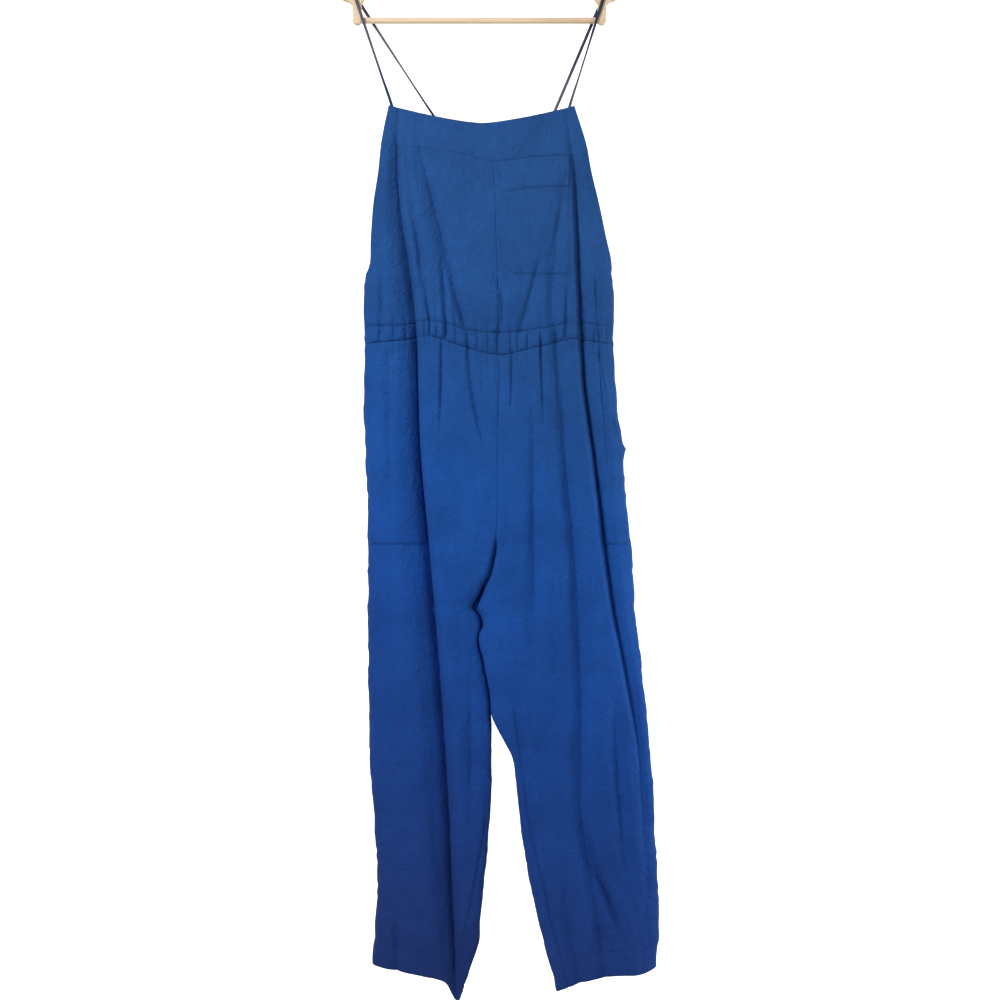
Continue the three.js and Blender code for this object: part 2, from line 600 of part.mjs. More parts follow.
// Grid lines of the front bodice, from the left edge to the centre seam and from there to the right edge.
const bodiceGuides = {
  left: (drop) => [
    outerEdge("front", "left", drop),
    longFold.left(drop),
    bodiceLine.left(drop),
    inner.left(drop) - HALF_SEAM,
  ],
  right: (drop) => [
    inner.right(drop) + HALF_SEAM,
    Math.max(CHEST_POCKET.left, inner.right(drop) + 1.5),
    CHEST_FLAP.left,
    Math.min(CHEST_POCKET.left + CHEST_POCKET.cornerCut, bodiceLine.right(drop) - 16),
    bodiceLine.right(drop),
    Math.min(CHEST_POCKET.right, longFold.right(drop) - 12),
    longFold.right(drop),
    outerEdge("front", "right", drop),
  ],
};
const BODICE_COLUMNS = { left: [6, 5, 8], right: [1, 1, 1, 4, 4, 2, 6] };
const POCKET_COLUMNS = { first: 1, flapFirst: 2, end: 11 };
const POCKET_ROWS = { flapEnd: 1, cornerStart: 3, end: 5 };

// Nominal drops of the front panels' rows. Those over 1 are the pocket's rows and the ones below it.
const cornerStart = CHEST_POCKET.bottom - CHEST_POCKET.cornerCut;
const BODICE_ROWS = [
  0,
  CHEST_FLAP.bottom,
  522,
  cornerStart,
  cornerStart + 6,
  CHEST_POCKET.bottom,
  626,
  655,
  1,
];
function bodiceDrop(row, x) {
  if (row <= 1) return lerp(bandSeam(x) + HALF_SEAM, casing.front.top(x) - WAIST_SEAM, row);
  const pull = 1 - smoothstep(row, CHEST_FLAP.bottom, BAND_PULL_ENDS);
  return row + (bandSeam(x) - bandSeam(CHEST_POCKET.left)) * pull;
}

function bodicePanel(side) {
  const grid = gridOf({
    rows: BODICE_ROWS,
    columns: columnsOf(BODICE_COLUMNS[side]),
    guides: bodiceGuides[side],
    dropAt: bodiceDrop,
    pointAt: (x, drop) => clothPoint("front", side, x, drop),
  });
  return squareEdges(grid, "front", side === "left" ? ["side", "centre"] : ["centre", "side"]);
}

// The chest pocket and its flap lie on the right panel and are made from its points, moved out.
function addChestPocket(panel) {
  const { first, flapFirst, end } = POCKET_COLUMNS;
  const { flapEnd, cornerStart: cornerRow, end: lastRow } = POCKET_ROWS;
  const pocket = (i, j) => i >= first + Math.max(j - cornerRow, 0) && i < end && j < lastRow;
  const corner = (i, j) => j >= cornerRow && i === first + j - cornerRow;
  addPiece(jumpsuit, "chest_pocket", wallOf(panel, SEAM, SEAM + CLOTH, pocket, corner), linen);
  const flap = (i, j) => i >= flapFirst && i < end && j < flapEnd;
  addPiece(jumpsuit, "chest_pocket_flap", wallOf(panel, 2 * SEAM + CLOTH, 2 * (SEAM + CLOTH), flap), linen);
}

function addBodice() {
  const sideOf = (x, drop) => (x < inner.left(drop) ? "left" : "right");
  const band = gridOf({
    rows: [0, 0.5, 1],
    columns: columnsOf([...BODICE_COLUMNS.left, ...BODICE_COLUMNS.right]),
    guides: (drop) => [...bodiceGuides.left(drop).slice(0, 3), ...bodiceGuides.right(drop)],
    dropAt: (t, x) => lerp(neckline.front(x), bandSeam(x) - HALF_SEAM, t),
    pointAt: (x, drop) => clothPoint("front", sideOf(x, drop), x, drop),
  });
  addPiece(jumpsuit, "front_band", wallOf(squareEdges(band, "front", ["open", "open"]), -CLOTH, 0), linen);

  const left = bodicePanel("left");
  const right = bodicePanel("right");
  addPiece(jumpsuit, "front_bodice_left", wallOf(left, -CLOTH, 0), linen);
  addPiece(jumpsuit, "front_bodice_right", wallOf(right, -CLOTH, 0), linen);
  addChestPocket(right);

  const back = facingBack(
    gridOf({
      rows: spread(0, 1, 10),
      columns: columnsOf([16, 16]),
      guides: (drop) => [
        outerEdge("back", "left", drop),
        inner.left(drop),
        outerEdge("back", "right", drop),
      ],
      dropAt: (t, x) => lerp(neckline.back(x), casing.back.top(x) - WAIST_SEAM, t),
      pointAt: (x, drop) => clothPoint("back", sideOf(x, drop), x, drop),
    }),
  );
  squareEdges(back, "back", ["side", "side"]);
  addPiece(jumpsuit, "back_bodice", wallOf(back, -CLOTH, 0), linen);
}

// The waist casing's front or back, drawn up into puckers by its elastic.
function addCasing(face) {
  const edges = casing[face];
  const count = PUCKERS.count * PUCKERS.linesEach;
  let grid = gridOf({
    rows: [0, 0.5, 1],
    columns: spread(0, 1, count).map((t) => ({ guide: 0, share: t })),
    guides: (drop) => [outline.left(drop), outline.right(drop)],
    dropAt: (t, x) => lerp(edges.top(x) + WAIST_SEAM, edges.bottom(x) - WAIST_SEAM, t),
    pointAt: (x, drop) => {
      const side = x < inner.left(drop) ? "left" : "right";
      const across = (x - outline.left(drop)) / (outline.right(drop) - outline.left(drop));
      const drift = PUCKERS.drift * Math.sin(PUCKERS.driftTurns * Math.PI * across);
      const wave = 0.5 + 0.5 * Math.cos(2 * Math.PI * (PUCKERS.count * across + drift));
      return clothPoint(face, side, x, drop, PUCKERS.depth * wave);
    },
  });
  if (face === "back") grid = facingBack(grid);
  squareEdges(grid, face, ["side", "side"]);
  addPiece(jumpsuit, `waist_casing_${face}`, wallOf(grid, -CASING_WALL, 0), linen);
}

// Nominal drops of a leg panel's rows, closer together where the crotch seam turns under.
const LEG_ROWS = [
  ...spread(WAIST, FORK, 7),
  ...[0.3, 0.55, 0.75, 0.9, 0.97, 1].map((t) => FORK + (CROTCH - FORK) * t),
  ...spread(CROTCH, HEM, 14).slice(1),
];

// Grid lines of the trouser panels, from the side seam to the centre seam or inseam.
const legGuides = {
  frontLeft: (drop) => [
    outline.left(drop) + pocketOpening.left(drop),
    longFold.left(drop),
    legLine.frontLeft(drop),
  ],
  frontRight: (drop) => [
    outline.right(drop) - pocketOpening.right(drop),
    longFold.right(drop),
    longFold.middle(drop),
    legLine.frontRight(drop),
  ],
  backLeft: (drop) => [legLine.backLeft(drop)],
  backRight: (drop) => [legLine.backRight(drop)],
};
const LEG_COLUMNS = {
  frontLeft: [2, 7, 6, 6],
  frontRight: [2, 6, 5, 5, 5],
  backLeft: [8, 9],
  backRight: [7, 11],
};
const SIDE_POCKET_COLUMNS = { left: { first: 2, end: 7 }, right: { first: 2, end: 6 } };

// One of the four trouser panels, from the casing to the hem.
function legPanel(face, side) {
  const onLeft = side === "left";
  const panel = face + (onLeft ? "Left" : "Right");
  const edges = casing[face];
  const halfGap = (drop) => HALF_SEAM * (1 + smoothstep(drop, FORK, CROTCH));
  const seamEnd = (drop) => inner[side](drop) + (onLeft ? -1 : 1) * halfGap(drop);
  const inOrder = (list) => (onLeft ? list : list.reverse());
  const columns = columnsOf(inOrder([...LEG_COLUMNS[panel]]));
  let grid = gridOf({
    rows: LEG_ROWS,
    columns,
    guides: (drop) => inOrder([outline[side](drop), ...legGuides[panel](drop), seamEnd(drop)]),
    dropAt: (row, x) =>
      row +
      (edges.bottom(x) + WAIST_SEAM - WAIST) * (1 - smoothstep(row, WAIST, WAIST_PULL_ENDS)) +
      (hem[side](x) - HEM) * smoothstep(row, HEM_PULL_BEGINS, HEM),
    pointAt: (x, drop) => clothPoint(face, side, x, drop),
  });
  if (face === "back") grid = facingBack(grid);
  return squareEdges(grid, face, onLeft ? ["side", "centre"] : ["centre", "side"]);
}

// Below the crotch the inner end of a panel is an inseam, square to the panel behind it as a side seam is.
function squareInseam(grid, side) {
  const column = side === "left" ? grid.points[0].length - 1 : 0;
  const outward = side === "left" ? 1 : -1;
  grid.points.forEach((line, j) => {
    const drop = -line[column].z;
    if (drop >= CROTCH - 0.5) grid.normals[j][column].set(outward, 0, 0);
  });
  return grid;
}

function addTrousers() {
  for (const side of ["left", "right"]) {
    for (const face of ["front", "back"]) {
      const grid = squareInseam(legPanel(face, side), side);
      addPiece(jumpsuit, `${face}_leg_${side}`, wallOf(grid, -CLOTH, 0), linen);
      if (face === "front") addSidePocket(grid, side);
    }
  }
}

// A side pocket lies on the front panel below the waist seam, with its slanted opening beside the side seam.
function addSidePocket(grid, side) {
  const last = grid.points[0].length - 2;
  const { first, end } = SIDE_POCKET_COLUMNS[side];
  const lastRow = LEG_ROWS.findIndex((row) => row >= SIDE_POCKET_BOTTOM);
  const keep = (i, j) => {
    const fromSide = side === "left" ? i : last - i;
    return j < lastRow && fromSide >= first && fromSide < end;
  };
  addPiece(jumpsuit, `side_pocket_${side}`, wallOf(grid, SEAM, SEAM + CLOTH, keep), linen);
}

// A strap: one narrow ribbon from inside the front's corner, over the hanger's arm and down inside the back.
function addStrap(side) {
  const sign = side === "left" ? -1 : 1;
  const { frontX, backX } = STRAP_ENDS[side];
  const { overArm, sewn, inside, leavesArm } = STRAP;
  const drift = STRAP_DRIFT;
  const seat = HANGER.notchDrop - STRAP.clear - STRAP.halfThick;
  const tuckedAt = (face, x, edge) => {
    const out = face === "front" ? 1 : -1;
    const p = clothPoint(face, side, x, edge);
    return p.setY(p.y + out * inside);
  };
  const frontEdge = neckline.front(frontX);
  const backEdge = neckline.back(backX);
  const armX = sign * HANGER.notch;
  const line = (from, to, t) => from.clone().lerp(to, t);
  const frontTop = tuckedAt("front", frontX, frontEdge);
  const backTop = tuckedAt("back", backX, backEdge);
  const armZ = -(HANGER.notchDrop + leavesArm);
  const frontArm = new THREE.Vector3(armX - sign * drift.frontArm, -overArm, armZ);
  const backArm = new THREE.Vector3(armX - sign * drift.backArm, overArm, armZ);
  const overArmPoint = (angle) => {
    const across = Math.cos(angle);
    const bend = STRAP.bend * Math.abs(across) ** STRAP.bendPower;
    return new THREE.Vector3(armX, -overArm * across, -seat - bend);
  };
  const path = [
    tuckedAt("front", frontX - sign * drift.frontSewn, frontEdge + sewn),
    frontTop,
    ...[0.25, 0.5, 0.75].map((t) => line(frontTop, frontArm, t)),
    frontArm,
    ...spread(0, Math.PI, 10).map(overArmPoint),
    backArm,
    ...[0.25, 0.5, 0.75].map((t) => line(backArm, backTop, t)),
    backTop,
    tuckedAt("back", backX - sign * drift.backSewn, backEdge + sewn),
  ];
  const points = path.map((p, i) => {
    const along = path[Math.min(i + 1, path.length - 1)].clone().sub(path[Math.max(i - 1, 0)]).normalize();
    const halfAcross = STRAP.halfWidth / Math.sqrt(1 - along.x ** 2);
    return [-1, 1].map((k) => new THREE.Vector3(p.x + k * halfAcross, p.y, p.z));
  });
  const grid = { points, normals: normalsOf(points) };
  addPiece(jumpsuit, `strap_${side}`, wallOf(grid, -STRAP.halfThick, STRAP.halfThick), strapCloth);
}

// A closed geometry as a manifold, and back.
function solidOf(geometry) {
  const bare = geometry.clone();
  bare.deleteAttribute("normal");
  bare.deleteAttribute("uv");
  const merged = mergeVertices(bare, 1e-4);
  return new wasm.Manifold(
    new wasm.Mesh({
      numProp: 3,
      vertProperties: new Float32Array(merged.attributes.position.array),
      triVerts: new Uint32Array(merged.index.array),
    }),
  );
}
function geometryOf(solid) {
  const { vertProperties, triVerts } = solid.getMesh();
  const geometry = new THREE.BufferGeometry();
  geometry.setAttribute("position", new THREE.Float32BufferAttribute(vertProperties, 3));
  geometry.setIndex(Array.from(triVerts));
  geometry.computeVertexNormals();
  return geometry;
}

// One half of the arms' outline, from the neck to the tip and back under the arm, as x and drop.
const ARM_TOP = [
  { x: 12, drop: 78 },
  { x: 30, drop: 88 },
  { x: 90, drop: 107 },
  { x: 150, drop: 127 },
  { x: 188, drop: 144 },
];
const ARM_TIP = [
  { x: 202, drop: 150 },
  { x: 211, drop: 155 },
  { x: 215, drop: 162 },
  { x: 211, drop: 169 },
  { x: 202, drop: 172 },
  { x: 197, drop: 176 },
  { x: 196, drop: 202 },
  { x: 192, drop: 207 },
];
const ARM_UNDER = [
  { x: 186, drop: 207 },
  { x: 183, drop: 203 },
  { x: 183, drop: 175 },
  { x: 174, drop: 162 },
  { x: 150, drop: 150 },
  { x: 90, drop: 131 },
  { x: 30, drop: 112 },
];
const ARM_CENTRE_UNDER = 108;

function addHanger() {
  const { thickness, bevel, notch, notchDrop, barRadius, barDrop, socketDepth, earInner } = HANGER;
  const half = [
    ...ARM_TOP,
    { x: notch - 4, drop: notchDrop },
    { x: notch + 4, drop: notchDrop },
    ...ARM_TIP,
    ...ARM_UNDER,
  ];
  const outlinePoints = [
    ...half.map(({ x, drop }) => new THREE.Vector2(x, -drop)),
    new THREE.Vector2(0, -ARM_CENTRE_UNDER),
    ...half.map(({ x, drop }) => new THREE.Vector2(-x, -drop)).reverse(),
  ];
  const flat = new THREE.ExtrudeGeometry(new THREE.Shape(outlinePoints), {
    depth: thickness - 2 * bevel,
    bevelEnabled: true,
    bevelThickness: bevel,
    bevelSize: bevel * 0.6,
    bevelOffset: -bevel * 0.6,
    bevelSegments: 1,
  });
  flat.translate(0, 0, -(thickness / 2 - bevel)).rotateX(Math.PI / 2);
  const barLength = 2 * (earInner + socketDepth) - 2 * SEAM;
  const barHole = new THREE.CylinderGeometry(barRadius + SEAM, barRadius + SEAM, barLength + 2 * SEAM, 16);
  barHole.rotateZ(Math.PI / 2).translate(0, 0, -barDrop);
  const stemHole = new THREE.CylinderGeometry(HANGER.wireRadius + SEAM, HANGER.wireRadius + SEAM, 30, 12);
  stemHole.rotateX(Math.PI / 2).translate(0, 0, -(HANGER.neckDrop + 8));
  const arms = solidOf(flat).subtract(solidOf(barHole)).subtract(solidOf(stemHole));
  addPiece(hanger, "hanger_arms", geometryOf(arms), beech);

  const bar = new THREE.CylinderGeometry(barRadius, barRadius, barLength, 16);
  bar.rotateZ(Math.PI / 2).translate(0, 0, -barDrop);
  addPiece(hanger, "hanger_bar", bar, beech);

  const { wireRadius, hookRadius } = HANGER;
  const ring = hookRadius + wireRadius;
  const centre = -hookRadius;
  const turns = spread(200, -50, 18).map((degrees) => {
    const a = THREE.MathUtils.degToRad(degrees);
    return new THREE.Vector3(ring * Math.cos(a), 0, centre + ring * Math.sin(a));
  });
  const stem = [
    new THREE.Vector3(5, 0, centre - 26.5),
    new THREE.Vector3(0.6, 0, centre - 35),
    ...spread(centre - 44, -(HANGER.neckDrop + 20), 4).map((z) => new THREE.Vector3(0, 0, z)),
  ];
  const wire = new THREE.CatmullRomCurve3([...turns, ...stem]);
  const section = new THREE.Shape().absarc(0, 0, wireRadius, 0, 2 * Math.PI);
  const hook = new THREE.ExtrudeGeometry(section, { steps: 40, curveSegments: 5, extrudePath: wire });
  addPiece(hanger, "hanger_hook", hook, steel);
}

addHanger();
addStrap("left");
addStrap("right");
addBodice();
addCasing("front");
addCasing("back");
addTrousers();

const part = new THREE.Group();
part.add(hanger, jumpsuit);
export default part;
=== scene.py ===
import math
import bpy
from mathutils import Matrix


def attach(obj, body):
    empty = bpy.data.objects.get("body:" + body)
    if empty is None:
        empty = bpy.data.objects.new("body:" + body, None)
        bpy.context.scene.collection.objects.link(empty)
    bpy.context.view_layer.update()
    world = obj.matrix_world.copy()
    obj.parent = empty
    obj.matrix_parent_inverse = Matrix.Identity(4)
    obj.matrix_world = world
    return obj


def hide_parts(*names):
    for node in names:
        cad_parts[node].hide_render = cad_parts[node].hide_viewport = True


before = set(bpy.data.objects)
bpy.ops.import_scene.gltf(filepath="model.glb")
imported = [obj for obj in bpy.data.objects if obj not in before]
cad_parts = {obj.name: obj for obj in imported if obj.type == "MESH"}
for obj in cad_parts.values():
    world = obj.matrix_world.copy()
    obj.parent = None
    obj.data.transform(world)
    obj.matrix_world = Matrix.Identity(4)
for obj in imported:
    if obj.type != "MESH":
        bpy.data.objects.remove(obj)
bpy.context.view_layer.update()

from types import SimpleNamespace as Values

import bpy
import numpy as np

# The tables are in millimetres: x across, and "drop", the distance below the inside top of the hook.
MM = 0.001
SIDES = ("left", "right")
FACES = ("front", "back")
# Which way x runs from each side to the middle, and y out of each face.
INWARD = {"left": 1, "right": -1}
OUT = {"front": -1, "back": 1}

CLOTH = 1.1
CASING_WALL = 2.0
HALF_SEAM = 0.01
WAIST_SEAM = -0.1
# How soon each part of the garment rounds towards its edges, and how much of its depth folds may take.
ROUNDING = {"back": 0.35, "left": 0.35, "right": 0.24, "inner": 0.12}
SHARE_OF_DEPTH = 0.8

NECK = {
    "front": Values(corner=334, dip=28, centre=5, half_width=145, power=1.4),
    "back": Values(corner=375, dip=7, centre=25, half_width=82, power=2),
}
UNDERARM = 575
WAIST = 700
FORK = 1012
CROTCH = 1108
HEM = 1680
BAND_PULL_ENDS = 600
WAIST_PULL_ENDS = 900
HEM_PULL_BEGINS = 1480
ARMHOLE_TURN = Values(at_strap=0.12, power=1.5)


def read(text):
    """The names in a table's first line, and its rows of numbers. A dash stands for a usual value."""
    names, *lines = [line.split() for line in text.strip().splitlines()]
    return names, [[math.nan if v == "-" else float(v) for v in line] for line in lines]


def table(text):
    names, rows = read(text)
    return [Values(**dict(zip(names, row))) for row in rows]


def through(keys, values):
    """A smooth function through values at keys."""
    last = len(keys) - 1
    low = np.maximum(np.arange(last + 1) - 1, 0)
    high = np.minimum(np.arange(last + 1) + 1, last)
    tangents = (values[high] - values[low]) / (keys[high] - keys[low])

    def at(x):
        x = np.clip(x, keys[0], keys[-1])
        i = np.clip(np.searchsorted(keys, x, side="right") - 1, 0, last - 1)
        span = keys[i + 1] - keys[i]
        t = (x - keys[i]) / span
        t2, t3 = t * t, t * t * t
        return (
            values[i] * (2 * t3 - 3 * t2 + 1)
            + values[i + 1] * (3 * t2 - 2 * t3)
            + span * (tangents[i] * (t3 - 2 * t2 + t) + tangents[i + 1] * (t3 - t2))
        )

    return at


def curves(text):
    """A smooth function for each column of a table after the first, of the first."""
    names, rows = read(text)
    keys, *columns = np.array(rows).T
    return {name: through(keys, column) for name, column in zip(names[1:], columns)}


# Outline of the whole garment: left and right edges, and depth to the front and back of the side seams.
outline = curves("""
drop left right front back
334 -140 146 15 12
393 -151 164 23 15
440 -156 173 28 19
486 -163 184 32 24
532 -167 194 36 29
575 -170 204 40 33
610 -178 207 43 36
645 -179 209 44 37
700 -177 208 41 36
790 -179 213 50 43
873 -177 222 53 45
943 -174 226 53 45
1015 -173 235 50 43
1108 -172 241 46 41
1190 -172 250 43 39
1290 -171 260 41 37
1380 -168 268 39 35
1430 -163 270 38 34
1486 -159 274 38 34
1540 -159 275 38 34
1594 -162 277 39 34
1660 -166 273 40 34
1710 -168 271 40 34
""")
armhole = curves("""
drop left right
375 -57 107
410 -76 124
450 -103 146
495 -134 172
540 -159 194
575 -170 204
""")
# The centre seams, then the inseams of the two legs and how far forward each leg hangs.
inner = curves("""
drop left right forward_left forward_right
334 5 5 0 0
425 21 21 0 0
570 27 27 0 0
700 31 31 0 0
873 28 28 0 0
960 28 28 0 0
1015 24 24 0 0
1050 17 17 0 0
1080 5 5 0 0
1108 -9 -9 0 0
1121 2 2 0 1
1134 4 4 -1 2
1156 -1 -1 -2 3
1190 6 6 -3 6
1226 14 14 -3 8
1252 17 17 -3 8
1272 18 18 -3 8
1290 19 25 -2 8
1340 19 51 0 7
1378 19 56 1 6
1424 17 61 2 5
1486 13 70 2 4
1532 7 77 2 4
1594 1 91 2 4
1630 -2 100 2 4
1672 -17 112 2 4
1712 -28 122 2 4
""")
# The three folds that run the whole length of the front: their lines, then their depths and reaches.
long_fold = curves("""
drop left middle right
334 -124 118 132
425 -126 124 146
494 -121 125 149
560 -111 118 151
641 -100 111 154
700 -96 118 157
768 -94 126 161
873 -90 132 175
1005 -78 145 191
1095 -70 151 203
1216 -60 156 226
1330 -52 157 245
1430 -46 158 251
1530 -42 174 256
1640 -37 190 255
1712 -35 196 252
""")
long_depth = curves("""
drop left left_out left_in middle right right_out right_in
334 1 8 12 0 1 8 10
393 6 14 12 1 5 14 10
486 14 26 12 4 15 20 10
600 24 40 12 8 20 24 10
700 26 46 12 9 20 24 10
800 32 52 12 10 22 24 10
1000 33 54 14 13 22 22 10
1200 32 52 19 13 17 18 10
1350 30 50 21 12 7 14 10
1500 29 48 21 8 2 12 10
1620 22 44 20 6 0 10 10
1712 9 40 18 5 0 10 10
""")
MIDDLE_REACH = (24, 20)
FOLD_SHARPNESS = 1.7
# The left fold's bottom, cut deeper beside its line.
FOLD_BOTTOM = Values(depth=6.5, left=17, right=6)
# How far the cloth leans over each long fold, and the depths of fold and of cloth that it takes.
LEAN = {"left": 4, "right": 2}
LEANING = Values(full_depth=30, thin=20)

# Shorter folds: where each starts, bends and ends, its depth, and its reach to each side.
FOLDS = {
    "front": table("""
top bottom x_top x_mid x_end depth left right fade_end fade_top
385 700 -96 -55 -16 12 24 11 0.1 -
425 690 -111 -92 -72 6 10 9 0.1 -
555 700 -58 -53 -48 7 9 9 0.1 -
585 700 18 36 27 6 12 9 0.1 -
530 700 103 82 60 6 12 16 0.1 -
600 700 136 134 132 5 8 8 0.1 -
560 700 -150 -150 -148 5 10 10 0.1 -
560 700 176 180 182 5 9 9 0.1 -
690 860 -57 -58 -60 6 6 7 - 0.1
690 900 -16 -7 22 6 8 9 - 0.1
700 830 52 50 48 4 5 5 - 0.1
720 1290 82 84 92 9 20 24 - -
690 850 94 97 100 5 5 6 - 0.1
700 960 182 192 205 5 8 9 - 0.1
700 1000 -140 -138 -136 6 14 16 - 0.1
1180 1420 47 66 88 3 14 16 - -
1400 1650 150 188 240 10 18 7 - -
1500 1712 128 140 162 6 16 12 0 -
1200 1560 205 215 232 9 16 16 - -
1560 1712 -128 -127 -124 8 16 18 0 -
1150 1500 -14 -12 -16 6 18 16 - -
360 660 139 123 76 1.8 8 8 - -
"""),
    "back": table("""
top bottom x_top x_mid x_end depth left right fade_end fade_top
470 1340 -112 -96 -70 27 26 22 - -
480 1300 152 172 214 26 22 26 - -
430 760 -62 -54 -50 9 15 15 - -
470 790 -14 -8 -6 8 14 14 - -
490 880 52 60 64 8 15 14 - -
450 900 108 106 112 9 15 15 - -
700 1250 -24 -32 -44 10 20 18 - -
740 1380 88 98 116 13 24 22 - -
760 1420 136 150 170 9 18 18 - -
1160 1712 -81 -68 -58 15 28 22 0 -
1300 1712 -128 -124 -120 9 20 20 0 -
1250 1712 -34 -38 -48 12 20 20 0 -
1330 1712 118 146 158 12 22 22 0 -
1240 1712 214 222 226 14 22 24 0 -
"""),
}
USUAL_FADE = 0.45

# Seams that cross the cloth.
band_seam = curves("""
x drop
-160 396
-90 401
-33 409
22 422
87 415
165 412
""")["drop"]
casing = {
    "front": curves("""
x top bottom
-180 674 702
-122 675 698
-78 668 692
-46 674 700.5
-19 682 709.5
12 687 718
35 687 721
60 685 716
92 681 708
127 674 699
154 670 696
180 674 701
212 676 704
"""),
    "back": curves("""
x top bottom
-180 674 702
-80 671 700
25 680 710
120 672 701
212 676 704
"""),
}
hem = {
    "left": curves("""
x drop
-170 1658
-130 1664
-86 1672
-52 1683
-33 1713
-14 1690
""")["drop"],
    "right": curves("""
x drop
112 1700
134 1690
158 1681
207 1671
246 1670
276 1660
""")["drop"],
}
BETWEEN_HEMS = 60
pocket_opening = curves("""
drop left right
690 17 28
800 11 14
890 6 5
1712 6 5
""")
# Felled inseams that have rolled round to the front of each leg.
rolled_seam = curves("""
drop left right
1180 2 41
1228 10 49
1320 13 61
1419 10 74
1456 7 80
1560 -13 105
1591 -19 111
1653 -24 128
1712 -31 143
""")
ROLLED_FROM = {"left": 1380, "right": 1215}

# Pinches of the elastic waist: where, how deep and wide, and how far they run up and down the cloth.
PINCHES = {
    "front": table("""
x depth width up down slant
-167 1.8 2.6 16 34 0
-153 2.6 2.2 34 26 -0.1
-131 1.4 2.6 14 46 0
-113 2.4 2.2 42 20 -0.1
-83.5 2.8 2 62 66 -0.15
-75.5 1.9 1.8 34 14 -0.2
-64.8 2.4 2 44 22 -0.15
-51.5 2.6 2 74 90 -0.1
-35 1.6 2.2 30 20 -0.2
-18 2.9 2 60 58 -0.1
-2 1.1 2.2 14 24 0
14 2.5 2 18 46 0
28.5 2.6 1.8 56 70 0.05
48.5 2.3 2 18 58 0
59 1.7 1.8 30 16 0.15
74 2.5 2 62 30 0.15
94 2.7 2 22 78 0.05
118 2.5 2 46 84 0
135 1.3 2.2 22 50 0
148.7 2.5 2 44 22 0.05
162 2.7 1.8 44 40 0
176.7 2.1 1.8 28 62 0.1
184.7 1.7 1.8 18 22 0.1
194 1.9 2 22 40 0.1
"""),
    "back": table("""
x depth width up down slant
-165 2.2 2.2 24 40 0
-149 1.7 2.4 16 24 0
-132 2.6 2 52 60 -0.1
-108 2.3 2 30 28 -0.1
-93 1.6 2 60 18 -0.15
-78 2.7 2 40 74 -0.1
-60 2.4 2 66 30 -0.1
-47 1.5 2.2 20 54 0
-29 2.6 2 48 40 -0.1
-12 2.2 1.8 22 70 0
4 1.8 2.2 58 22 0
21 2.7 2 36 62 0
39 2.4 2 70 34 0.05
54 1.6 2 18 48 0.1
68 2.6 2 44 80 0.1
86 2.3 2 60 26 0.1
103 1.7 2.2 26 52 0.05
119 2.7 1.8 56 66 0.1
136 2.2 2 22 30 0.1
153 2.6 2 46 58 0.1
170 1.8 2 30 20 0.05
186 2.4 2 20 44 0
198 1.6 1.8 14 20 0
"""),
}
PINCHED = Values(share=0.5, narrow=0.9, length=0.75, widens=26, power=1.5)
# How far the casing's pads puff out between pinches, and the cloth above and below it.
PUFF = Values(pad=3.0, uneven=0.3, pitch=(8, 11), above=2.0, below=0.8, reach=7, kept_flat=0.9)
# Powers that shape a pad: where its highest line lies, and how soon it rises down it and across it.
PAD = Values(low=1.4, down=0.7, across=0.6)
